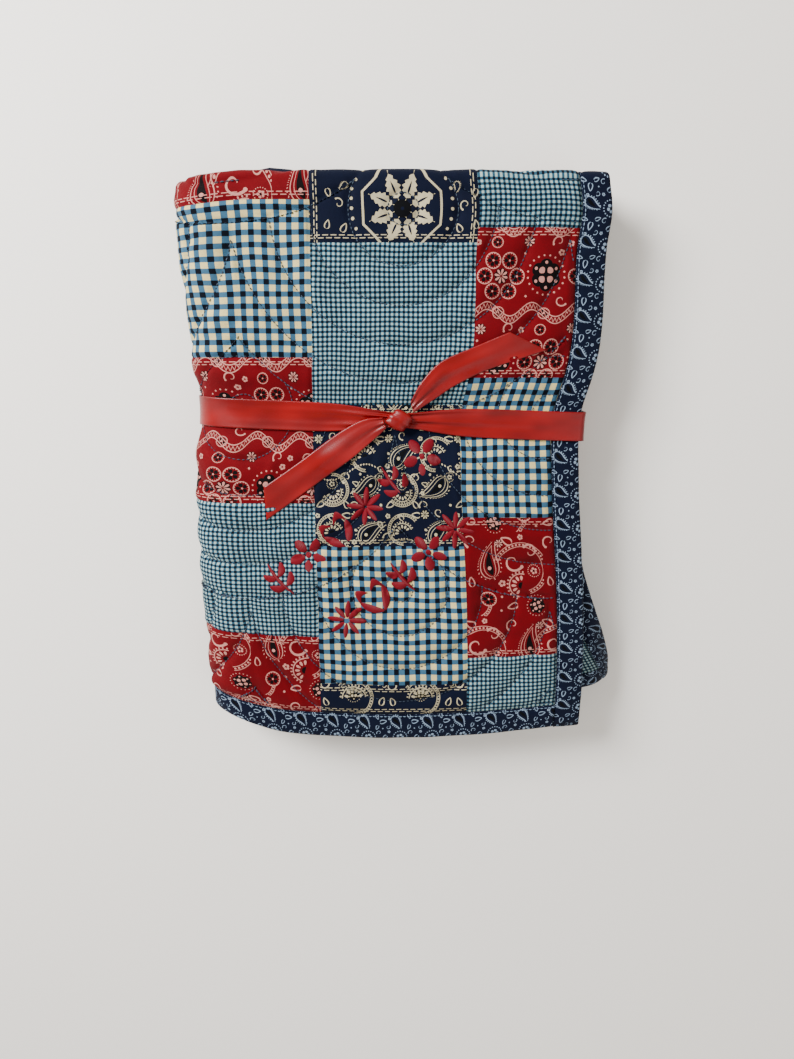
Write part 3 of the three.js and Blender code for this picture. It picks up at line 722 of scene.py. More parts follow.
# %% The two loose ends: (upper x, upper s, lower x, lower s, lift) from the knot to the cut
LOOSE_ENDS = {
    "left": [(-6.5, 251, -3.5, 243, 4.4), (-22, 249, -13, 235, 3.8), (-43, 238, -31, 221, 3.2),
             (-70, 219, -56, 204, 2.6), (-97, 200.5, -96, 175.5, 2.6)],
    "right": [(14, 262, 17, 254, 4.4), (20, 276, 32, 264, 3.8), (32, 290, 46, 274, 3.2),
              (56, 301, 68, 285, 2.7), (78.5, 310.5, 106, 298, 2.7)],
}


def through(rows, count):
    """A smooth curve through rows of numbers: cubic pieces whose slopes come from the
    neighbours of each row."""
    rows = np.array(rows, dtype=float)
    slopes = np.gradient(rows, axis=0)
    t = np.linspace(0, len(rows) - 1, count)
    i = np.minimum(t.astype(int), len(rows) - 2)
    f = (t - i)[:, None]
    a, b, m, n = rows[i], rows[i + 1], slopes[i], slopes[i + 1]
    from_a, from_b = (2*f**3 - 3*f**2 + 1) * a, (3*f**2 - 2*f**3) * b
    return from_a + (f**3 - 2*f**2 + f) * m + from_b + (f**3 - f**2) * n


def loose_end(side_name):
    """A strip between two edge curves. Pleats run out from the knot, one long soft roll runs
    down it, and the cut end lifts a little."""
    columns = through(LOOSE_ENDS[side_name], 90).T
    upper_x, upper_s, lower_x, lower_s, lift = (column[:, None] for column in columns)
    w, face = both_faces(np.linspace(0, 1, 21))
    t = np.linspace(0, 1, len(upper_x))[:, None]
    pleats = np.exp(-t * 4.5) * (0.7 * np.sin(16 * w + 0.6) + 0.3 * np.sin(27 * w))
    roll = 1.1 * bell(w - 0.25 - 0.3 * t, 0.28) * np.sin(math.pi * t) - 0.5 * bell(w - 0.75, 0.2) * t
    cut_lift = 1.3 * smooth(0.8, 1.0, t) * (1 - w)
    up = lift + face * SATIN / 2 + pleats + roll + cut_lift
    x, s = upper_x + (lower_x - upper_x) * w, upper_s + (lower_s - upper_s) * w
    return settle(x, s, -up)


ends = []
for side_name in LOOSE_ENDS:
    end = carried(f"satin_end_{side_name}", loose_end(side_name), flip=side_name == "right")
    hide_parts(f"ribbon_tail_{side_name}")
    ends.append(end)


# %% The knot
KNOT_HALF = (9.6, 7.7, 4.1)


def ribbon_knot():
    """A round lump from rings of latitude, creased by the folds that cross it."""
    lift = np.linspace(0.02, math.pi - 0.02, 34)[:, None]
    turn = np.linspace(0, 2 * math.pi, 56, endpoint=False)[None]
    east, north = np.sin(lift) * np.cos(turn), np.sin(lift) * np.sin(turn)
    up = np.cos(lift) + 0 * turn
    lean = 0.55 * east + 0.85 * north
    folds = 0.07 * np.sin(9 * lean + 0.8) * np.sin(lift)
    crease = 1 + folds - 0.10 * bell(lean - 0.2, 0.12) * np.sin(lift)
    waist = 1 - 0.18 * np.abs(north)
    x = knot_seat[0] + KNOT_HALF[0] * waist * east * crease
    y = knot_seat[1] + KNOT_HALF[1] * north * crease
    z = knot_seat[2] + KNOT_HALF[2] * (1 + np.maximum(up * crease, -0.9))
    return np.stack([x, y, z], axis=-1)


knot = carried("satin_knot", ribbon_knot())
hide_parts("ribbon_knot")
for piece in (band, knot, *ends):
    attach(piece, "root")
print("ribbon pieces:", [piece.name for piece in (band, knot, *ends)])

# %% [markdown]
# ## Thread
# Every stitch is a short bead of thread that dips at both ends. Thousands of them are one mesh,
# worked out together: the bead's few points are repeated along the arcs and the binding.

# %% Stitches
STITCH, STITCH_GAP, THREAD = 2.4, 0.6, 0.36
CLEAR_OF_BINDING = 23.5


def arc_stitches():
    """Middles and directions, on the flat quilt, of the stitches on every arc that its own fan
    owns, on the front, the left fold and the back."""
    rows = []
    for row in FAN_ROWS:
        shift, row_s = fan_row(row)
        for column in range(-3, 2):
            centre = np.array([shift + column * FAN["width"], row_s])
            for ring in range(ARCS + 1):
                r = FAN["first"] + ring * FAN["step"] - 0.05
                turn = np.arange(0, 2 * math.pi, (STITCH + STITCH_GAP) / r)
                x, s = centre[0] + r * np.cos(turn), centre[1] + r * np.sin(turn)
                owner_x, owner_s, _ = fan_at(EDGE_X - x, s)
                own = (np.abs(owner_x - centre[0]) < 1) & (np.abs(owner_s - centre[1]) < 1)
                own &= (EDGE_X - x > CLEAR_OF_BINDING) & (EDGE_X - x < SEEN_TO)
                own &= (s > CLEAR_OF_BINDING) & (s < FACE_RUN - 1)
                rows.append(np.stack([EDGE_X - x, s, np.sin(turn), np.cos(turn)], axis=-1)[own])
    return np.concatenate(rows)


def edge_stitches():
    """The line of stitches that holds the binding down, at its inner edge."""
    up = np.arange(STITCH_LINE, FACE_RUN, STITCH + STITCH_GAP)
    out = np.arange(STITCH_LINE + 3, SEEN_TO, STITCH + STITCH_GAP)
    side = np.stack([0 * up + STITCH_LINE, up, 0 * up, 0 * up + 1], axis=-1)
    hem = np.stack([out, 0 * out + STITCH_LINE, 0 * out + 1, 0 * out], axis=-1)
    return np.concatenate([side, hem])


def threads(name, stitches, sink):
    """A bead for each stitch: three rings of four points, highest in the middle."""
    u, v, du, dv = (stitches[:, k, None, None] for k in range(4))
    t = np.array([-0.5, -0.17, 0.17, 0.5])[None, :, None] * STITCH
    fat = np.array([0.35, 1.0, 1.0, 0.35])[None, :, None]
    side = np.array([0.0, 1.0, 0.0, -1.0])[None, None, :] * THREAD * fat
    high = np.array([1.0, 0.0, -1.0, 0.0])[None, None, :] * THREAD * 0.6 * fat
    at_u, at_v = u + du * t - dv * side, v + dv * t + du * side
    ground = relief(at_u, at_v) + seam_groove(at_u, at_v) if sink is None else sink + 0 * at_u
    height = CLOTH / 2 + lain_on(at_u, ground) + high + 0.5 * fat + 0.28
    points = to_frame(off_cloth(at_u, at_v, height))
    # A stitch on cloth that is pressed flat rises with it
    points[..., 2] += np.maximum(0, RESTS_AT - points[..., 2].min(axis=(1, 2), keepdims=True))
    bead = np.array(tube_faces(4, 4, flip=True))
    faces = (bead[None] + 16 * np.arange(len(stitches))[:, None, None]).reshape(-1, 4)
    return mesh_object(name, points.reshape(-1, 3), faces.tolist())


quilting = threads("quilting_thread", arc_stitches(), None)
edging = threads("binding_thread", edge_stitches(), -0.35)
for piece in (quilting, edging):
    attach(piece, "root")
    print(piece.name, len(piece.data.polygons), "faces")

# %% [markdown]
# ## Satin-stitch ornaments
# Embroidery in satin stitch is a padded leaf of close parallel threads. Each ornament here is a
# few such leaves: a flower, a heart, a sprig or a star. They go in two slanting rows across the
# blocks, each leaf a low dome that follows the cloth.

# %% Ornaments: leaves as (start x, start y, end x, end y, bend, width), in millimetres
def rosette(count, inner, outer, width, bend=0.0):
    """Leaves that point outwards all round."""
    turns = [2 * math.pi * k / count + math.pi / 2 for k in range(count)]
    return [(inner * math.cos(a), inner * math.sin(a), outer * math.cos(a), outer * math.sin(a),
             bend, width) for a in turns]


ORNAMENTS = {
    "flower": [*rosette(5, 2.4, 11.5, 6.2), (-1.8, 0, 1.8, 0, 0, 3.8)],
    "star": rosette(8, 0.8, 11.5, 3.5),
    "heart": [(0, -10, -8.6, 2.6, 1.2, 4.8), (0, -10, 8.6, 2.6, -1.2, 4.8),
              (-8.8, 1.6, -0.3, 4.2, 4.6, 4.8), (8.8, 1.6, 0.3, 4.2, -4.6, 4.8)],
    "sprig": [(0, -12, 0, 11, 1.2, 2.4), (0, -6, -8, 0, 1.6, 4.8), (0, -6, 8, 0, -1.6, 4.8),
              (0, 1, -6.5, 7, 1.4, 4.4), (0, 1, 6.5, 7, -1.4, 4.4)],
}
ORNAMENT_SCALE, PADDING = 1.3, 1.15
# Each row of ornaments: the first middle (x, s), the last one, and the kinds along it
ORNAMENT_ROWS = [
    ((-88, 130), (24, 222), ("sprig", "flower", "heart", "star", "sprig", "flower")),
    ((-38, 98), (48, 168), ("star", "heart", "sprig", "flower", "star")),
]


def ornaments():
    """Domed leaves on the cloth: across a leaf the height follows a half ellipse, and along it
    the width follows a root of the sine, so that its ends are round."""
    t = np.linspace(0, 1, 22)[:, None]
    c = np.concatenate([np.cos(np.linspace(math.pi, 0, 9)), [0.6, -0.6]])[None]
    dome = np.concatenate([np.sin(np.linspace(math.pi, 0, 9)), [-0.35, -0.35]])[None]
    points, faces, maps = [], [], []
    for (x0, s0), (x1, s1), kinds in ORNAMENT_ROWS:
        lean = math.atan2(s1 - s0, x1 - x0)
        for k, kind in enumerate(kinds):
            at = k / (len(kinds) - 1)
            for a, b, e, f, bend, width in np.array(ORNAMENTS[kind]) * ORNAMENT_SCALE:
                length = math.hypot(e - a, f - b)
                half = width / 2 * np.sin(math.pi * (0.03 + 0.94 * t)) ** 0.6
                off = bend * np.sin(math.pi * t) + half * c
                x = a + (e - a) * t - (f - b) / length * off
                y = b + (f - b) * t + (e - a) / length * off
                px = x0 + (x1 - x0) * at + x * math.cos(lean) - y * math.sin(lean)
                ps = s0 + (s1 - s0) * at + x * math.sin(lean) + y * math.cos(lean)
                ground = CLOTH / 2 + 0.6 * relief(EDGE_X - px, ps) + 0.35
                height = ground + PADDING * dome * (half / (width / 2))
                faces += tube_faces(len(t), c.shape[1], first=len(points) * t.size * c.size)
                points.append(off_cloth(EDGE_X - px, ps, height).reshape(-1, 3))
                maps.append(np.stack(np.broadcast_arrays(length * t, half * c), axis=-1).reshape(-1, 2))
    made = mesh_object("satin_stitch", to_frame(np.concatenate(points)), faces)
    set_uv(made, np.concatenate(maps)[corners_of(made)] / 1000)
    return made


embroidery = ornaments()
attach(embroidery, "root")
print("ornaments:", len(embroidery.data.polygons), "faces")
# %% [markdown]
# ## Finishes
# Each cloth is named for what it really is. Prints could be images, but drawn by nodes on the
# flat map they stay sharp at any size and follow every fold.

# %% Helpers for materials
def linear(hex_colour):
    """An sRGB hex colour as the linear values that the renderer works in."""
    parts = [int(hex_colour[i:i + 2], 16) / 255 for i in (1, 3, 5)]
    return (*[p / 12.92 if p <= 0.04045 else ((p + 0.055) / 1.055) ** 2.4 for p in parts], 1.0)


def first_output(made):
    """A node's first output in use."""
    return next(socket for socket in made.outputs if socket.enabled)


def new_material(name):
    """An empty material, and the one function that adds nodes to it."""
    made = bpy.data.materials.new(name)
    made.use_nodes = True
    tree = made.node_tree
    tree.nodes.clear()

    def node(kind, *links, **settings):
        """Adds a node of a kind, as "Math" or "Math:ADD" with its operation, with its settings.
        The links go to the inputs in use in their order, or by name if they are a dictionary.
        A node given as a value means its first output."""
        kind, _, operation = kind.partition(":")
        added = tree.nodes.new("ShaderNode" + kind)
        if operation:
            settings["operation"] = operation
        for setting, value in settings.items():
            setattr(added, setting, value)
        in_use = [socket for socket in added.inputs if socket.enabled]
        named = links[0].items() if links and isinstance(links[0], dict) else zip(in_use, links)
        for socket, value in named:
            socket = added.inputs[socket] if isinstance(socket, str) else socket
            value = first_output(value) if isinstance(value, bpy.types.Node) else value
            if isinstance(value, bpy.types.NodeSocket):
                tree.links.new(value, socket)
            elif value is not None:
                socket.default_value = value
        return added

    return made, node


# %% [markdown]
# ## Motifs of the prints
# Bandana prints are built from a few old motifs: flowers in rings, paisleys, scrolls, half suns,
# stars, dots and ropes. Each function here draws one of them from the distance and the angle
# round its middle, in millimetres, and gives two masks: what is light, and what is dark.

# %% Drawing round a point
Spot = namedtuple("Spot", "x y radius angle")


def round_point(node, at, x, y, turn=0.0):
    """x, y, radius and angle of the cloth round a motif's own middle."""
    moved = node("Mapping", at, (x, y, 0), (0, 0, math.radians(turn)), vector_type="TEXTURE")
    parts = node("SeparateXYZ", moved).outputs
    angle = node("Math:ARCTAN2", parts["Y"], parts["X"])
    return Spot(parts["X"], parts["Y"], node("VectorMath:LENGTH", moved), angle)


def sine_of(node, way, spacing):
    """A sine of the way along, with one wave for each spacing."""
    return node("Math:SINE", node("Math:MULTIPLY", way, 2 * math.pi / spacing))


def either(node, masks):
    """One mask where any of them is."""
    total = masks[0]
    for mask in masks[1:]:
        total = node("Math:MAXIMUM", total, mask)
    return total


def spots(node, angle, distance, count, pace, size, stretch=1.0):
    """A row of round or long spots: the angle is cut into equal parts, and each spot is where
    the way along its part and the distance from the row, both in millimetres, are short."""
    part = node("Math:FRACT", node("Math:MULTIPLY", angle, count / (2 * math.pi)))
    part = node("Math:MULTIPLY_ADD", part, pace, -pace / 2)
    off = node("Math:DIVIDE", distance, stretch)
    reach = node("VectorMath:LENGTH", node("CombineXYZ", part, off))
    return node("Math:LESS_THAN", reach, size)


def ring_of_spots(node, spot, count, ring, size, stretch=1.0):
    """Spots on a circle."""
    off = node("Math:SUBTRACT", spot.radius, ring)
    return spots(node, spot.angle, off, count, 2 * math.pi * ring / count, size, stretch)


def drop_edge(node, spot, length, width, bend):
    """Distance sideways from the edge of a bent drop, less than nought inside. Its half width
    is the root of (1 - t) times (1 - t squared), for t from -1 at the round end to 1 at the tip."""
    t = node("Clamp", node("Math:DIVIDE", spot.y, length / 2), -1.0, 1.0)
    inner = node("Math:SUBTRACT", 1.0, node("Math:MULTIPLY", t, t))
    wide = node("Math:SQRT", node("Math:MULTIPLY", inner, node("Math:SUBTRACT", 1.0, t)))
    rise = node("Math:POWER", node("Math:ADD", t, 1.0), 3.0)
    bent = node("Math:MULTIPLY_ADD", rise, -bend / 8, spot.x)
    return node("Math:MULTIPLY_ADD", wide, -width / 2.2, node("Math:ABSOLUTE", bent))


# %% Flowers, stars and dots
def wheel(node, spot, size):
    """A dark flower inside a light ring with small teeth."""
    ring = node("Math:COMPARE", spot.radius, size * 0.92, size * 0.05)
    teeth = ring_of_spots(node, spot, 16, size * 0.82, size * 0.065)
    heart = node("Math:LESS_THAN", spot.radius, size * 0.12)
    petals = ring_of_spots(node, spot, 5, size * 0.4, size * 0.21, 1.35)
    return either(node, [ring, teeth, heart]), petals


def daisy(node, spot, size):
    """Round light petals about a dark eye, in a ring of dots."""
    petals = ring_of_spots(node, spot, 5, size * 0.34, size * 0.17)
    dots = ring_of_spots(node, spot, 18, size * 0.9, size * 0.075)
    eye = node("Math:LESS_THAN", spot.radius, size * 0.14)
    return either(node, [petals, dots]), eye


def posy(node, spot, size):
    """A small light flower alone."""
    return ring_of_spots(node, spot, 5, size * 0.55, size * 0.33), None


def star(node, spot, size):
    """Long light rays on a dark ground with points of its own."""
    rays = ring_of_spots(node, spot, 8, size * 0.5, size * 0.12, 3.2)
    ground = ring_of_spots(node, spot, 8, size * 0.52, size * 0.24, 1.9)
    return rays, ground


def dot(node, spot, size):
    """A round dot."""
    return node("Math:LESS_THAN", spot.radius, size), None


# %% Paisleys, scrolls and half suns
def paisley(node, spot, size):
    """A bent drop in two outlines, with a fringe of dots and a dark core."""
    edge = drop_edge(node, spot, size * 2, size * 1.05, size * 1.15)
    outer = node("Math:COMPARE", edge, 0.0, 0.34)
    inner = node("Math:COMPARE", edge, -size * 0.2, 0.22)
    fringe_off = node("Math:SUBTRACT", edge, size * 0.15)
    fringe = spots(node, spot.angle, fringe_off, 26, size * 0.26, 0.55)
    core = node("Math:LESS_THAN", edge, -size * 0.33)
    seed_y = node("Math:ADD", spot.y, size * 0.42)
    seed = node("VectorMath:LENGTH", node("CombineXYZ", spot.x, seed_y))
    seed = node("Math:LESS_THAN", seed, size * 0.1)
    near = node("Math:LESS_THAN", spot.radius, size * 1.15)
    light = node("Math:MULTIPLY", either(node, [outer, inner, fringe, seed]), near)
    return light, core


def curled_drop(node, spot, size):
    """A plain outlined drop with a dark core and a row of teeth, for the small print of the binding."""
    edge = drop_edge(node, spot, size * 2, size * 1.15, size * 1.2)
    outline = node("Math:COMPARE", edge, 0.0, size * 0.07)
    near = node("Math:LESS_THAN", spot.radius, size * 1.1)
    teeth_off = node("Math:SUBTRACT", edge, size * 0.18)
    teeth = spots(node, spot.angle, teeth_off, 20, size * 0.3, size * 0.06, 1.6)
    core = node("Math:LESS_THAN", edge, -size * 0.36)
    light = node("Math:MULTIPLY", either(node, [outline, teeth]), near)
    return light, core


def oval(node, spot, size):
    """An open leaf shape."""
    edge = drop_edge(node, spot, size * 2, size * 1.1, 0.0)
    line = node("Math:COMPARE", edge, 0.0, size * 0.13)
    near = node("Math:LESS_THAN", spot.radius, size)
    return node("Math:MULTIPLY", line, near), None


def scroll(node, spot, size):
    """A line that winds inwards as it turns, and ends in a round drop."""
    path = node("Math:MULTIPLY_ADD", spot.angle, size * 0.14, size * 0.55)
    off = node("Math:SUBTRACT", spot.radius, path)
    thick = node("Math:MULTIPLY_ADD", spot.angle, size * 0.016, size * 0.075)
    line = node("Math:LESS_THAN", node("Math:ABSOLUTE", off), thick)
    open_part = node("Math:GREATER_THAN", spot.angle, -2.3)
    end = node("Mapping", node("CombineXYZ", spot.x, spot.y), (-size * 0.98, 0.0, 0),
               vector_type="TEXTURE")
    ball = node("Math:LESS_THAN", node("VectorMath:LENGTH", end), size * 0.17)
    return either(node, [node("Math:MULTIPLY", line, open_part), ball]), None


def half_sun(node, spot, size):
    """Half a circle edged with points, with long petals inside round a dark half eye."""
    rim = node("Math:COMPARE", spot.radius, size * 0.9, size * 0.04)
    points = ring_of_spots(node, spot, 24, size * 1.04, size * 0.055, 1.5)
    petals = ring_of_spots(node, spot, 12, size * 0.58, size * 0.09, 2.0)
    above = node("Math:GREATER_THAN", spot.y, 0.0)
    eye = node("Math:LESS_THAN", spot.radius, size * 0.26)
    light = node("Math:MULTIPLY", either(node, [rim, points, petals]), above)
    return light, node("Math:MULTIPLY", eye, above)


def beaded_arc(node, spot, size):
    """A large part circle of beads between two fine lines."""
    beads = ring_of_spots(node, spot, 44, size * 0.93, size * 0.036)
    lines = [node("Math:COMPARE", spot.radius, size * at, 0.24) for at in (0.86, 1.0)]
    open_part = node("Math:LESS_THAN", spot.angle, 0.9)
    return node("Math:MULTIPLY", either(node, [beads, *lines]), open_part), None


def rosette_eye(node, spot, size):
    """A dark lobed patch that holds a star of light petals, edged with dots."""
    lobes = ring_of_spots(node, spot, 6, size * 0.5, size * 0.3)
    heart = node("Math:LESS_THAN", spot.radius, size * 0.45)
    petals = ring_of_spots(node, spot, 4, size * 0.3, size * 0.16)
    stars = ring_of_spots(node, spot, 6, size * 0.62, size * 0.08)
    dots = ring_of_spots(node, spot, 20, size * 0.98, size * 0.05)
    return either(node, [petals, stars, dots]), either(node, [lobes, heart])


MOTIFS = {
    "wheel": wheel, "daisy": daisy, "posy": posy, "star": star, "dot": dot, "paisley": paisley,
    "drop": curled_drop, "oval": oval, "scroll": scroll, "half_sun": half_sun, "eye": rosette_eye,
    "arc": beaded_arc,
}

# %% [markdown]
# ## Layout of each print
# A print repeats in a cell, and every second row of cells is moved half a cell along, as on
# printed cotton. Each motif below has its places: the middle in the cell, the size and, if it is
# turned, the turn in degrees.

# %% Layouts, in millimetres
SIXTHS = np.radians(np.arange(0, 360, 60))
LAYOUTS = {
    "rope": ((64, 58), {
        "star": [(-15, 11, 5.5, 10), (-28, -24, 4)],
        "eye": [(17, 12, 13)],
        "wheel": [
            (16, -13.5, 4.2), (-16, -13.5, 4.2), (14, -25, 4),
            *((-15 + 11.6 * math.cos(a), 11 + 11.6 * math.sin(a), 5.6) for a in SIXTHS),
        ],
        "posy": [(1, -25, 2.4), (27, 27, 2.6)],
        "dot": [(2, 26, 0.8), (3, -2, 0.8)],
        "scroll": [(27, -5, 4.2, 140), (-8, -24, 4.2, 30)],
    }),
    "rose": ((60, 66), {
        "arc": [(12, 4, 21, 110), (-26, -22, 15, -60)],
        "paisley": [(-14, 11, 14, 25)],
        "half_sun": [(13, -9, 10.5, 75)],
        "scroll": [(7, 10, 8, 150), (20, 18, 6, -40), (-25, 26, 5.5, 60)],
        "daisy": [(23, 3, 5)],
        "posy": [(-2, -7, 3.2), (13, 29, 2.4)],
        "wheel": [(-13, -19, 6)],
        "oval": [(2, 27, 4.6, 60), (-25, -5, 3.8, 10), (5, -25, 4.2, 100)],
        "dot": [(-3, -17, 0.9), (-4, -28, 0.9)],
        "eye": [(24, -25, 8, 20)],
        "star": [(-4, 25, 3.6)],
    }),
    "paisley": ((54, 56), {
        "arc": [(-13, -13, 12.5, 40), (14, 13, 12.5, 215)],
        "paisley": [(-13, 14, 12, -25), (14, -14, 12, 150)],
        "half_sun": [(13, 11, 8, 20), (-13, -15, 7.5, 200)],
        "scroll": [
            (-2, -4, 5, 60), (25, 3, 4, 200), (2, 7, 4.4), (-12, 26, 3.6, 90), (-22, -3, 4, 300),
            (4, -25, 4, 20),
        ],
        "daisy": [(-13, -9, 4.2), (24, -4, 3.6)],
        "posy": [(2, 24, 2.2), (-24, 4, 2.2), (3, -15, 1.9)],
        "oval": [
            (-3, -24, 3.2, 30), (24, 24, 3.4, 80), (-23, -24, 3.2, 120), (12, 23, 2.8, 40),
            (-4, 17, 2.8, 200), (5, -8, 2.6, 70),
        ],
        "star": [(-23, 24, 3.6)],
        "dot": [(24, -24, 1), (-23, 13, 0.9), (9, -1, 0.9)],
    }),
    "arches": ((52, 44), {
        "arc": [(0, -9, 15, 90)],
        "half_sun": [(0, -9, 10)],
        "star": [(-18, 13, 4.5), (18, 13, 4.5)],
        "daisy": [(0, 14, 5)],
        "oval": [(-22, -12, 3.4, 20), (22, -12, 3.4, -20)],
        "dot": [(9, 17, 0.8), (-9, 17, 0.8)],
        "scroll": [(23, 2, 4), (-23, 2, 4, 180)],
        "eye": [(0, -6, 6)],
    }),
    "binding": ((25, 25), {
        "drop": [(-5.4, 5.6, 5.8, 65)],
        "daisy": [(5.4, -5.6, 6)],
        "oval": [
            (6.2, 5.8, 2.7, 100), (-7.4, -5.4, 2.5, -40), (10.8, 1.8, 2, 20), (11, 10.6, 2, -20),
        ],
        "scroll": [(2.4, 10.4, 1.9, 30), (-3, -9.8, 2.1, 200)],
        "posy": [(-11.2, -1, 1.3), (-10.8, -10.6, 1.3), (1.3, 3.4, 1.2)],
        "dot": [(-2.6, -2.4, 0.5), (6.6, 11.6, 0.5)],
    }),
}


def in_cells(node, at, wide, tall):
    """Position inside a repeating cell, with every second row moved half a cell along."""
    parts = node("SeparateXYZ", at).outputs
    row = node("Math:ROUND", node("Math:DIVIDE", parts["Y"], tall))
    x = node("Math:MULTIPLY_ADD", row, wide / 2, parts["X"])
    x = node("Math:WRAP", x, wide / 2, -wide / 2)
    y = node("Math:WRAP", parts["Y"], tall / 2, -tall / 2)
    return node("CombineXYZ", x, y)


def placed(node, at, motifs, middle=(0, 0), side=1):
    """The light and the dark masks of motifs round a middle, or of their mirror image if side
    is minus one. A place without a turn isn't turned."""
    masks = [MOTIFS[motif](node, round_point(node, at, middle[0] + side * x, middle[1] + y,
                                             side * sum(turn)), size)
             for motif, places in motifs.items() for x, y, size, *turn in places]
    return [light for light, _ in masks], [dark for _, dark in masks if dark is not None]


def off_line(node, cell, wave_length, swing, level):
    """The way along the cell, and the distance up from a line that swings along it as a sine."""
    parts = node("SeparateXYZ", cell).outputs
    line = node("Math:MULTIPLY_ADD", sine_of(node, parts["X"], wave_length), swing, level)
    return parts["X"], node("Math:SUBTRACT", parts["Y"], line)


def rope(node, cell, wide, swing, level):
    """Two lines that swing along the cell with a zigzag between them, as a plaited chain."""
    way, off = off_line(node, cell, wide / 2, swing, level)
    sides = node("Math:COMPARE", node("Math:ABSOLUTE", off), 2.5, 0.38)
    path = node("Math:MULTIPLY_ADD", node("Math:PINGPONG", way, 1.25), 2.4, -1.5)
    return either(node, [sides, node("Math:COMPARE", off, path, 0.46)])


def bead_row(node, cell, wide, swing, level):
    """Twenty-five dots in a row that swings along the cell."""
    way, off = off_line(node, cell, wide, swing, level)
    pace = wide / 25
    return spots(node, way, off, 2 * math.pi / pace, pace, 0.62)


# %% [markdown]
# ## Cotton
# Plain-woven cotton is matt, with a faint sheen at grazing angles from its fibres. The weave is
# finer than the render can show, so it is drawn at half a millimetre to be felt at all.

# %% The cloth under every print
THREAD_SPACING = 0.5


def cotton(made, node, at, colour):
    """Finishes a cotton: slow fading over the colour, weave and fuzz as bump, and a soft sheen."""
    cloud = node("TexNoise", {"Vector": at, "Scale": 0.045, "Detail": 3.0, "Roughness": 0.6})
    fade = node("MapRange", cloud, 0.3, 0.7, 0.86, 1.08)
    speck = node("TexNoise", {"Vector": at, "Scale": 0.9, "Detail": 2.0, "Roughness": 0.7})
    worn = node("MapRange", speck, 0.3, 0.7, 0.9, 1.1)
    tinted = node("HueSaturation", {"Color": colour, "Value": node("Math:MULTIPLY", fade, worn)})
    parts = node("SeparateXYZ", at).outputs
    warp, weft = (sine_of(node, parts[side], THREAD_SPACING) for side in "XY")
    cloth_height = node("Math:MULTIPLY_ADD", node("Math:MULTIPLY", warp, weft), 0.3, speck)
    bump = node("Bump", {"Height": cloth_height, "Strength": 0.25, "Distance": 0.0004})
    surface = node("BsdfPrincipled", {
        "Base Color": tinted, "Roughness": 0.82, "Sheen Weight": 0.03, "Sheen Roughness": 0.5,
        "Specular IOR Level": 0.08, "Normal": bump,
    })
    node("OutputMaterial", {"Surface": surface})
    return made


def on_map(node, name="Flat"):
    """The flat map in millimetres."""
    return node("VectorMath:SCALE", {"Vector": node("UVMap", uv_map=name), "Scale": 1000.0})


# %% [markdown]
# ## Gingham
# Gingham has equal stripes of white and dyed thread both ways.

# %% Gingham
def gingham(name, repeat, colours, dyed_share=0.5):
    """Three colours from two sets of stripes, each about half as wide as the repeat."""
    light, middle, dark = (linear(colour) for colour in colours)
    made, node = new_material(name)
    at = on_map(node)
    parts = node("SeparateXYZ", at).outputs
    counted = (node("Math:FRACT", node("Math:DIVIDE", parts[side], repeat)) for side in "XY")
    across_stripe, up_stripe = (node("Math:LESS_THAN", part, dyed_share) for part in counted)
    plain = node("Mix", across_stripe, light, middle, data_type="RGBA")
    dyed = node("Mix", across_stripe, middle, dark, data_type="RGBA")
    return cotton(made, node, at, node("Mix", up_stripe, plain, dyed, data_type="RGBA"))


# %% [markdown]
# ## Bandana cotton
# The printed cottons are dyed red or navy with the pattern left light, and have black accents.
# Two broken lines run just inside the edge of each block.

# %% Printed cotton
DASH, DASH_REPEAT, LINE_HALF = 3.9, 5.6, 0.3


def broken_lines(node, at, sides=1):
    """Two dashed lines inside the seams, from the second map's distances to them: along the
    ends of the block, and along its sides as well if asked."""
    seam = node("SeparateXYZ", on_map(node, "Seam")).outputs
    parts = node("SeparateXYZ", at).outputs
    lines = []
    for distance, run in ((seam["Y"], parts["X"]), (seam["X"], parts["Y"]))[:sides]:
        for inset, phase in ((3.0, 0.0), (4.9, 2.5)):
            dash = node("Math:WRAP", node("Math:ADD", run, phase), DASH_REPEAT, 0.0)
            dash = node("Math:LESS_THAN", dash, DASH)
            on = node("Math:COMPARE", distance, inset, LINE_HALF)
            lines.append(node("Math:MULTIPLY", on, dash))
    return either(node, lines)


def inked(node, colours, light, dark):
    """The ground colour, dark accents over it, and light motifs over both."""
    ground, light_colour, dark_colour = (linear(colour) for colour in colours)
    base = node("Mix", either(node, dark), ground, dark_colour, data_type="RGBA")
    return node("Mix", either(node, light), base, light_colour, data_type="RGBA")


def printed(name, layout, colours, chain=None):
    """A cotton printed with a layout, and with a chain as (its function, swing, level) if given."""
    made, node = new_material(name)
    at = on_map(node)
    (wide, tall), motifs = LAYOUTS[layout]
    cell = in_cells(node, at, wide, tall)
    light, dark = placed(node, cell, motifs)
    if chain:
        draw, swing, level = chain
        light.append(draw(node, cell, wide, swing, level))
    if layout != "binding":
        light.append(broken_lines(node, at))
    return cotton(made, node, at, inked(node, colours, light, dark))


# %% The medallion print: one large figure, with its middle here in its block
MEDALLION = (62.3, 22.0)
FRAME_REACH, FRAME_HALF = 26.0, 0.75
LEAF_MIDDLE, LEAF_HALF_LENGTH, LEAF_HALF_WIDTH = 14.8, 9.6, 5.3
# The small motifs beside the figure, once on each side of it: x is outwards from its middle
MEDALLION_SIDES = {
    "dot": [
        (33, 13, 1.1), (33.5, 6.5, 1.1), (33.5, 0, 1.1), (33, -6.5, 1.1), (31, -13, 1),
        (30, 19, 1), (25, 24, 1),
    ],
    "scroll": [(42, 3, 3.6, 60)],
    "oval": [(39, -12, 3.2, 30), (50, -10, 3, 15), (49, 10, 3, 160)],
    "drop": [(38, 14, 3.4, 200)],
}


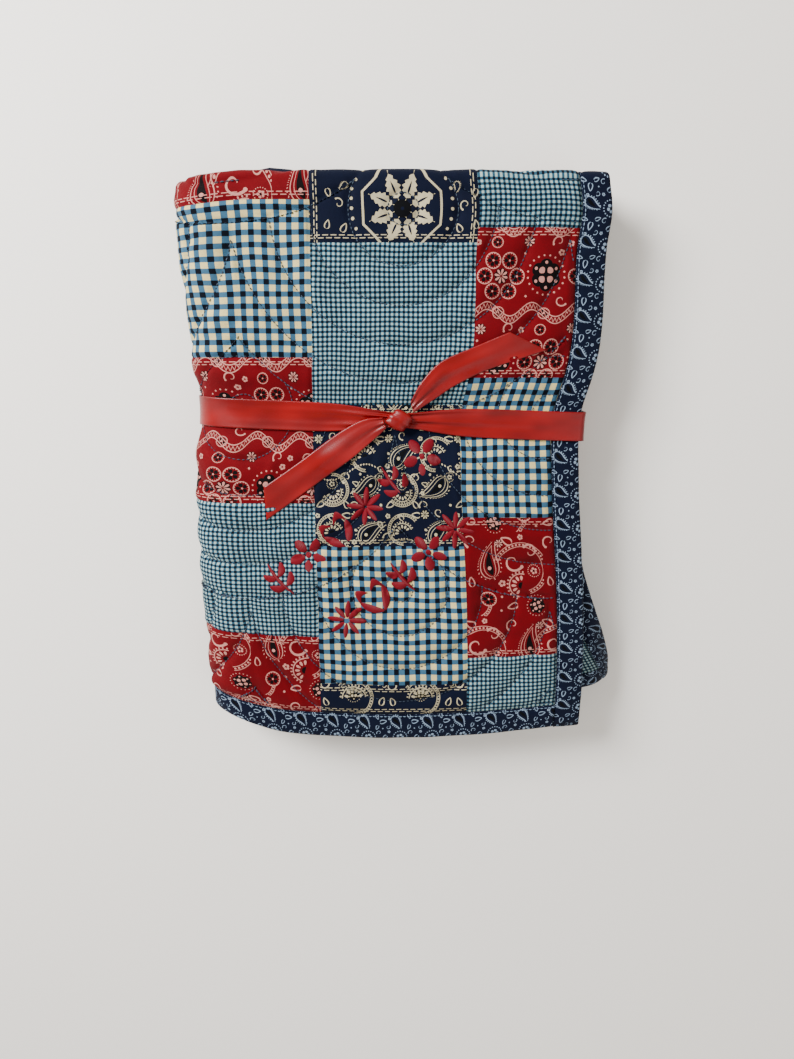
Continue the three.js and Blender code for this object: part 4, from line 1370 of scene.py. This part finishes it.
def medallion_print(name, colours):
    """Eight leaves round a dark star inside an eight-sided line, with dots and drops beside it.
    The line keeps one distance from the middle, measured square to the nearest of eight sides."""
    made, node = new_material(name)
    at = on_map(node)
    spot = round_point(node, at, *MEDALLION)
    eighth = 2 * math.pi / 8
    turned = node("Math:WRAP", spot.angle, eighth / 2, -eighth / 2)
    square = node("Math:MULTIPLY", node("Math:COSINE", turned), spot.radius)
    frame_line = node("Math:COMPARE", square, FRAME_REACH, FRAME_HALF)
    leaf_turn = node("Math:WRAP", node("Math:ADD", spot.angle, eighth / 2), eighth / 2, -eighth / 2)
    leaf_x = node("Math:MULTIPLY", node("Math:SINE", leaf_turn), spot.radius)
    leaf_y = node("Math:SUBTRACT", spot.radius, LEAF_MIDDLE)
    jagged = node("Math:MULTIPLY_ADD", node("Math:PINGPONG", leaf_y, 1.5), 0.95,
                  node("Math:ABSOLUTE", leaf_x))
    far = node("Math:ABSOLUTE", node("Math:DIVIDE", leaf_y, LEAF_HALF_LENGTH))
    leaf_edge = node("Math:MULTIPLY_ADD", node("Math:POWER", far, 1.5), 5.6, jagged)
    leaf = node("Math:LESS_THAN", leaf_edge, LEAF_HALF_WIDTH)
    slit_edge = drop_edge(node, Spot(leaf_x, leaf_y, spot.radius, leaf_turn), 8.0, 1.5, 0.0)
    slit = node("Math:LESS_THAN", slit_edge, 0.0)
    leaf = node("Math:MULTIPLY", leaf, node("Math:SUBTRACT", 1.0, slit))
    light = [frame_line, leaf, broken_lines(node, at, 2)]
    for side in (-1, 1):
        light += placed(node, at, MEDALLION_SIDES, MEDALLION, side)[0]
    dark = [ring_of_spots(node, spot, 8, 3.6, 2.6)]
    return cotton(made, node, at, inked(node, colours, light, dark))


# %% Colours of the cottons
# Gingham: plain, half dyed and dyed. Prints: ground, light pattern and dark accents.
SMALL_CHECK = ("#98aca8", "#26485a", "#010612")
BIG_CHECK = ("#ccba82", "#345870", "#010510")
RED = ("#5c0008", "#b47a70", "#060203")
NAVY = ("#040a1e", "#aea384", "#010205")
BOUND = ("#050c20", "#7e90a4", "#010205")
CLOTHS = {
    "small": gingham("small_gingham_cotton", 3.35, SMALL_CHECK),
    "big": gingham("big_gingham_cotton", 8.2, BIG_CHECK, 0.46),
    "rose": printed("red_scroll_cotton", "rose", RED),
    "rope": printed("red_rope_cotton", "rope", RED, (rope, 5.0, -13.5)),
    "paisley": printed("navy_paisley_cotton", "paisley", NAVY, (bead_row, 6.0, 0.0)),
    "arches": printed("navy_arch_cotton", "arches", NAVY),
    "medallion": medallion_print("navy_medallion_cotton", NAVY),
    "backing": gingham("backing_gingham_cotton", 3.35, SMALL_CHECK),
}
for key in PRINTS:
    quilt.data.materials.append(CLOTHS[key])
binding_cotton = printed("navy_binding_cotton", "binding", BOUND)
for strip in bindings:
    strip.data.materials.append(binding_cotton)
print("cottons:", [made.name for made in CLOTHS.values()])

# %% [markdown]
# ## Satin and thread
# Satin floats its warp over many wefts, so it shines along one way more than the other: a
# smooth, slightly anisotropic gloss over a deep red, with painted fold shade in streaks along it.
# Embroidery thread has a plain gloss, with painted light on each thread's crest and painted shade
# between threads.

# %% Satin ribbon
def satin(name, colour, shadow):
    """Deep red with fine ribs across it, painted shade of folds in streaks along it, and a soft
    directional gloss.
    """
    made, node = new_material(name)
    at = on_map(node)
    parts = node("SeparateXYZ", at).outputs
    rib = sine_of(node, parts["X"], 0.7)
    long_way = node("Mapping", {"Vector": at, "Scale": (0.3, 0.7, 1.0)})
    # Painted shade: long noise streaks darken the red towards the shadow colour, standing in for the
    # shade in the satin's folds.
    painted_fold_shade_noise = node("TexNoise", {"Vector": long_way, "Scale": 0.12, "Detail": 1.0})
    tone = node("MapRange", painted_fold_shade_noise, 0.3, 0.7, 0.0, 0.6)
    fold_shaded_colour = node("Mix", tone, linear(colour), linear(shadow), data_type="RGBA")
    bump = node("Bump", {"Height": rib, "Strength": 0.12, "Distance": 0.0002})
    surface = node("BsdfPrincipled", {
        "Base Color": fold_shaded_colour, "Roughness": 0.3, "Anisotropic": 0.6,
        "Specular IOR Level": 0.34, "Normal": bump,
    })
    node("OutputMaterial", {"Surface": surface})
    return made


# The second colour is the painted shade of the ribbon's folds.
ribbon_satin = satin("red_satin", "#820004", "#480002")
for piece in (band, knot, *ends):
    piece.data.materials.append(ribbon_satin)


# %% Threads
def stitched(name, colour, spacing, rough):
    """Close parallel threads that run across each leaf, as ridges in bump, with painted shade in the
    grooves between threads and painted light on their crests.
    """
    made, node = new_material(name)
    at = on_map(node)
    parts = node("SeparateXYZ", at).outputs
    ridge = sine_of(node, parts["X"], spacing)
    # Painted light and shade: the colour is darker in the grooves between threads and lighter on their
    # crests.
    tone = node("MapRange", ridge, -1.0, 1.0, 0.72, 1.08)
    tinted = node("HueSaturation", {"Color": linear(colour), "Value": tone})
    bump = node("Bump", {"Height": ridge, "Strength": 0.5, "Distance": 0.0003})
    surface = node("BsdfPrincipled", {
        "Base Color": tinted, "Roughness": rough, "Specular IOR Level": 0.2, "Normal": bump,
    })
    node("OutputMaterial", {"Surface": surface})
    return made


def plain_thread(name, colour):
    """Cotton thread: matt, with slight changes of tone from stitch to stitch."""
    made, node = new_material(name)
    where = node("TexCoord").outputs["Object"]
    noise = node("TexNoise", {"Vector": where, "Scale": 300.0, "Detail": 1.0})
    tone = node("MapRange", noise, 0.3, 0.7, 0.8, 1.2)
    tinted = node("HueSaturation", {"Color": linear(colour), "Value": tone})
    surface = node("BsdfPrincipled", {
        "Base Color": tinted, "Roughness": 0.7, "Specular IOR Level": 0.1,
    })
    node("OutputMaterial", {"Surface": surface})
    return made


embroidery.data.materials.append(stitched("red_embroidery_thread", "#700014", 0.8, 0.5))
quilting.data.materials.append(plain_thread("blue_grey_quilting_thread", "#36404e"))
edging.data.materials.append(plain_thread("pale_topstitch_thread", "#6f8196"))
# %% [markdown]

# %% [markdown]
# ## Floor, light and camera
# The bundle lies on a pale floor under large soft lights. The camera stands where the photograph
# was taken from, in relation to the quilt's face.

# %% Floor
floor_mesh = bpy.data.meshes.new("floor")
reach = 6.0
floor_corners = [(-reach, -reach, 0), (reach, -reach, 0), (reach, reach, 0), (-reach, reach, 0)]
floor_mesh.from_pydata(floor_corners, [], [(0, 1, 2, 3)])
floor = bpy.data.objects.new("floor", floor_mesh)
bpy.context.scene.collection.objects.link(floor)
paint, node = new_material("white_laminate")
surface = node("BsdfPrincipled", {"Base Color": linear("#fcf7f0"), "Roughness": 0.6})
node("OutputMaterial", {"Surface": surface})
floor_mesh.materials.append(paint)

# %% Lights
world = bpy.data.worlds.new("studio")
world.use_nodes = True
sky = world.node_tree.nodes["Background"].inputs
sky["Color"].default_value, sky["Strength"].default_value = linear("#f9f5ef"), 0.72
bpy.context.scene.world = world
# Each lamp: its name, its place and size in metres, and its power in watts
LAMPS = (("window", (-1.1, 0.9, 1.0), 0.7, 74), ("fill", (1.2, -0.6, 1.4), 1.4, 8))
for name, place_at, size, power in LAMPS:
    light = bpy.data.lights.new(name, "AREA")
    light.size, light.energy = size, power
    lamp = bpy.data.objects.new(name, light)
    lamp.location = place_at
    aim = -np.array(place_at) / np.linalg.norm(place_at)
    lamp.rotation_euler = (math.acos(-aim[2]), 0, math.atan2(aim[1], aim[0]) - math.pi / 2)
    bpy.context.scene.collection.objects.link(lamp)

# %% Camera
CAMERA_UP, CAMERA_OFF, CAMERA_TILT = 303, 578, -13.2
camera = bpy.data.cameras.new("camera")
camera.lens, camera.sensor_width = 27.03, 36
camera_object = bpy.data.objects.new("camera", camera)
camera_object.location = to_frame(np.array([0, CAMERA_UP, FULL_DEPTH + CAMERA_OFF]))
camera_object.rotation_euler = (math.radians(CAMERA_TILT), 0, 0)
bpy.context.scene.collection.objects.link(camera_object)
bpy.context.scene.camera = camera_object
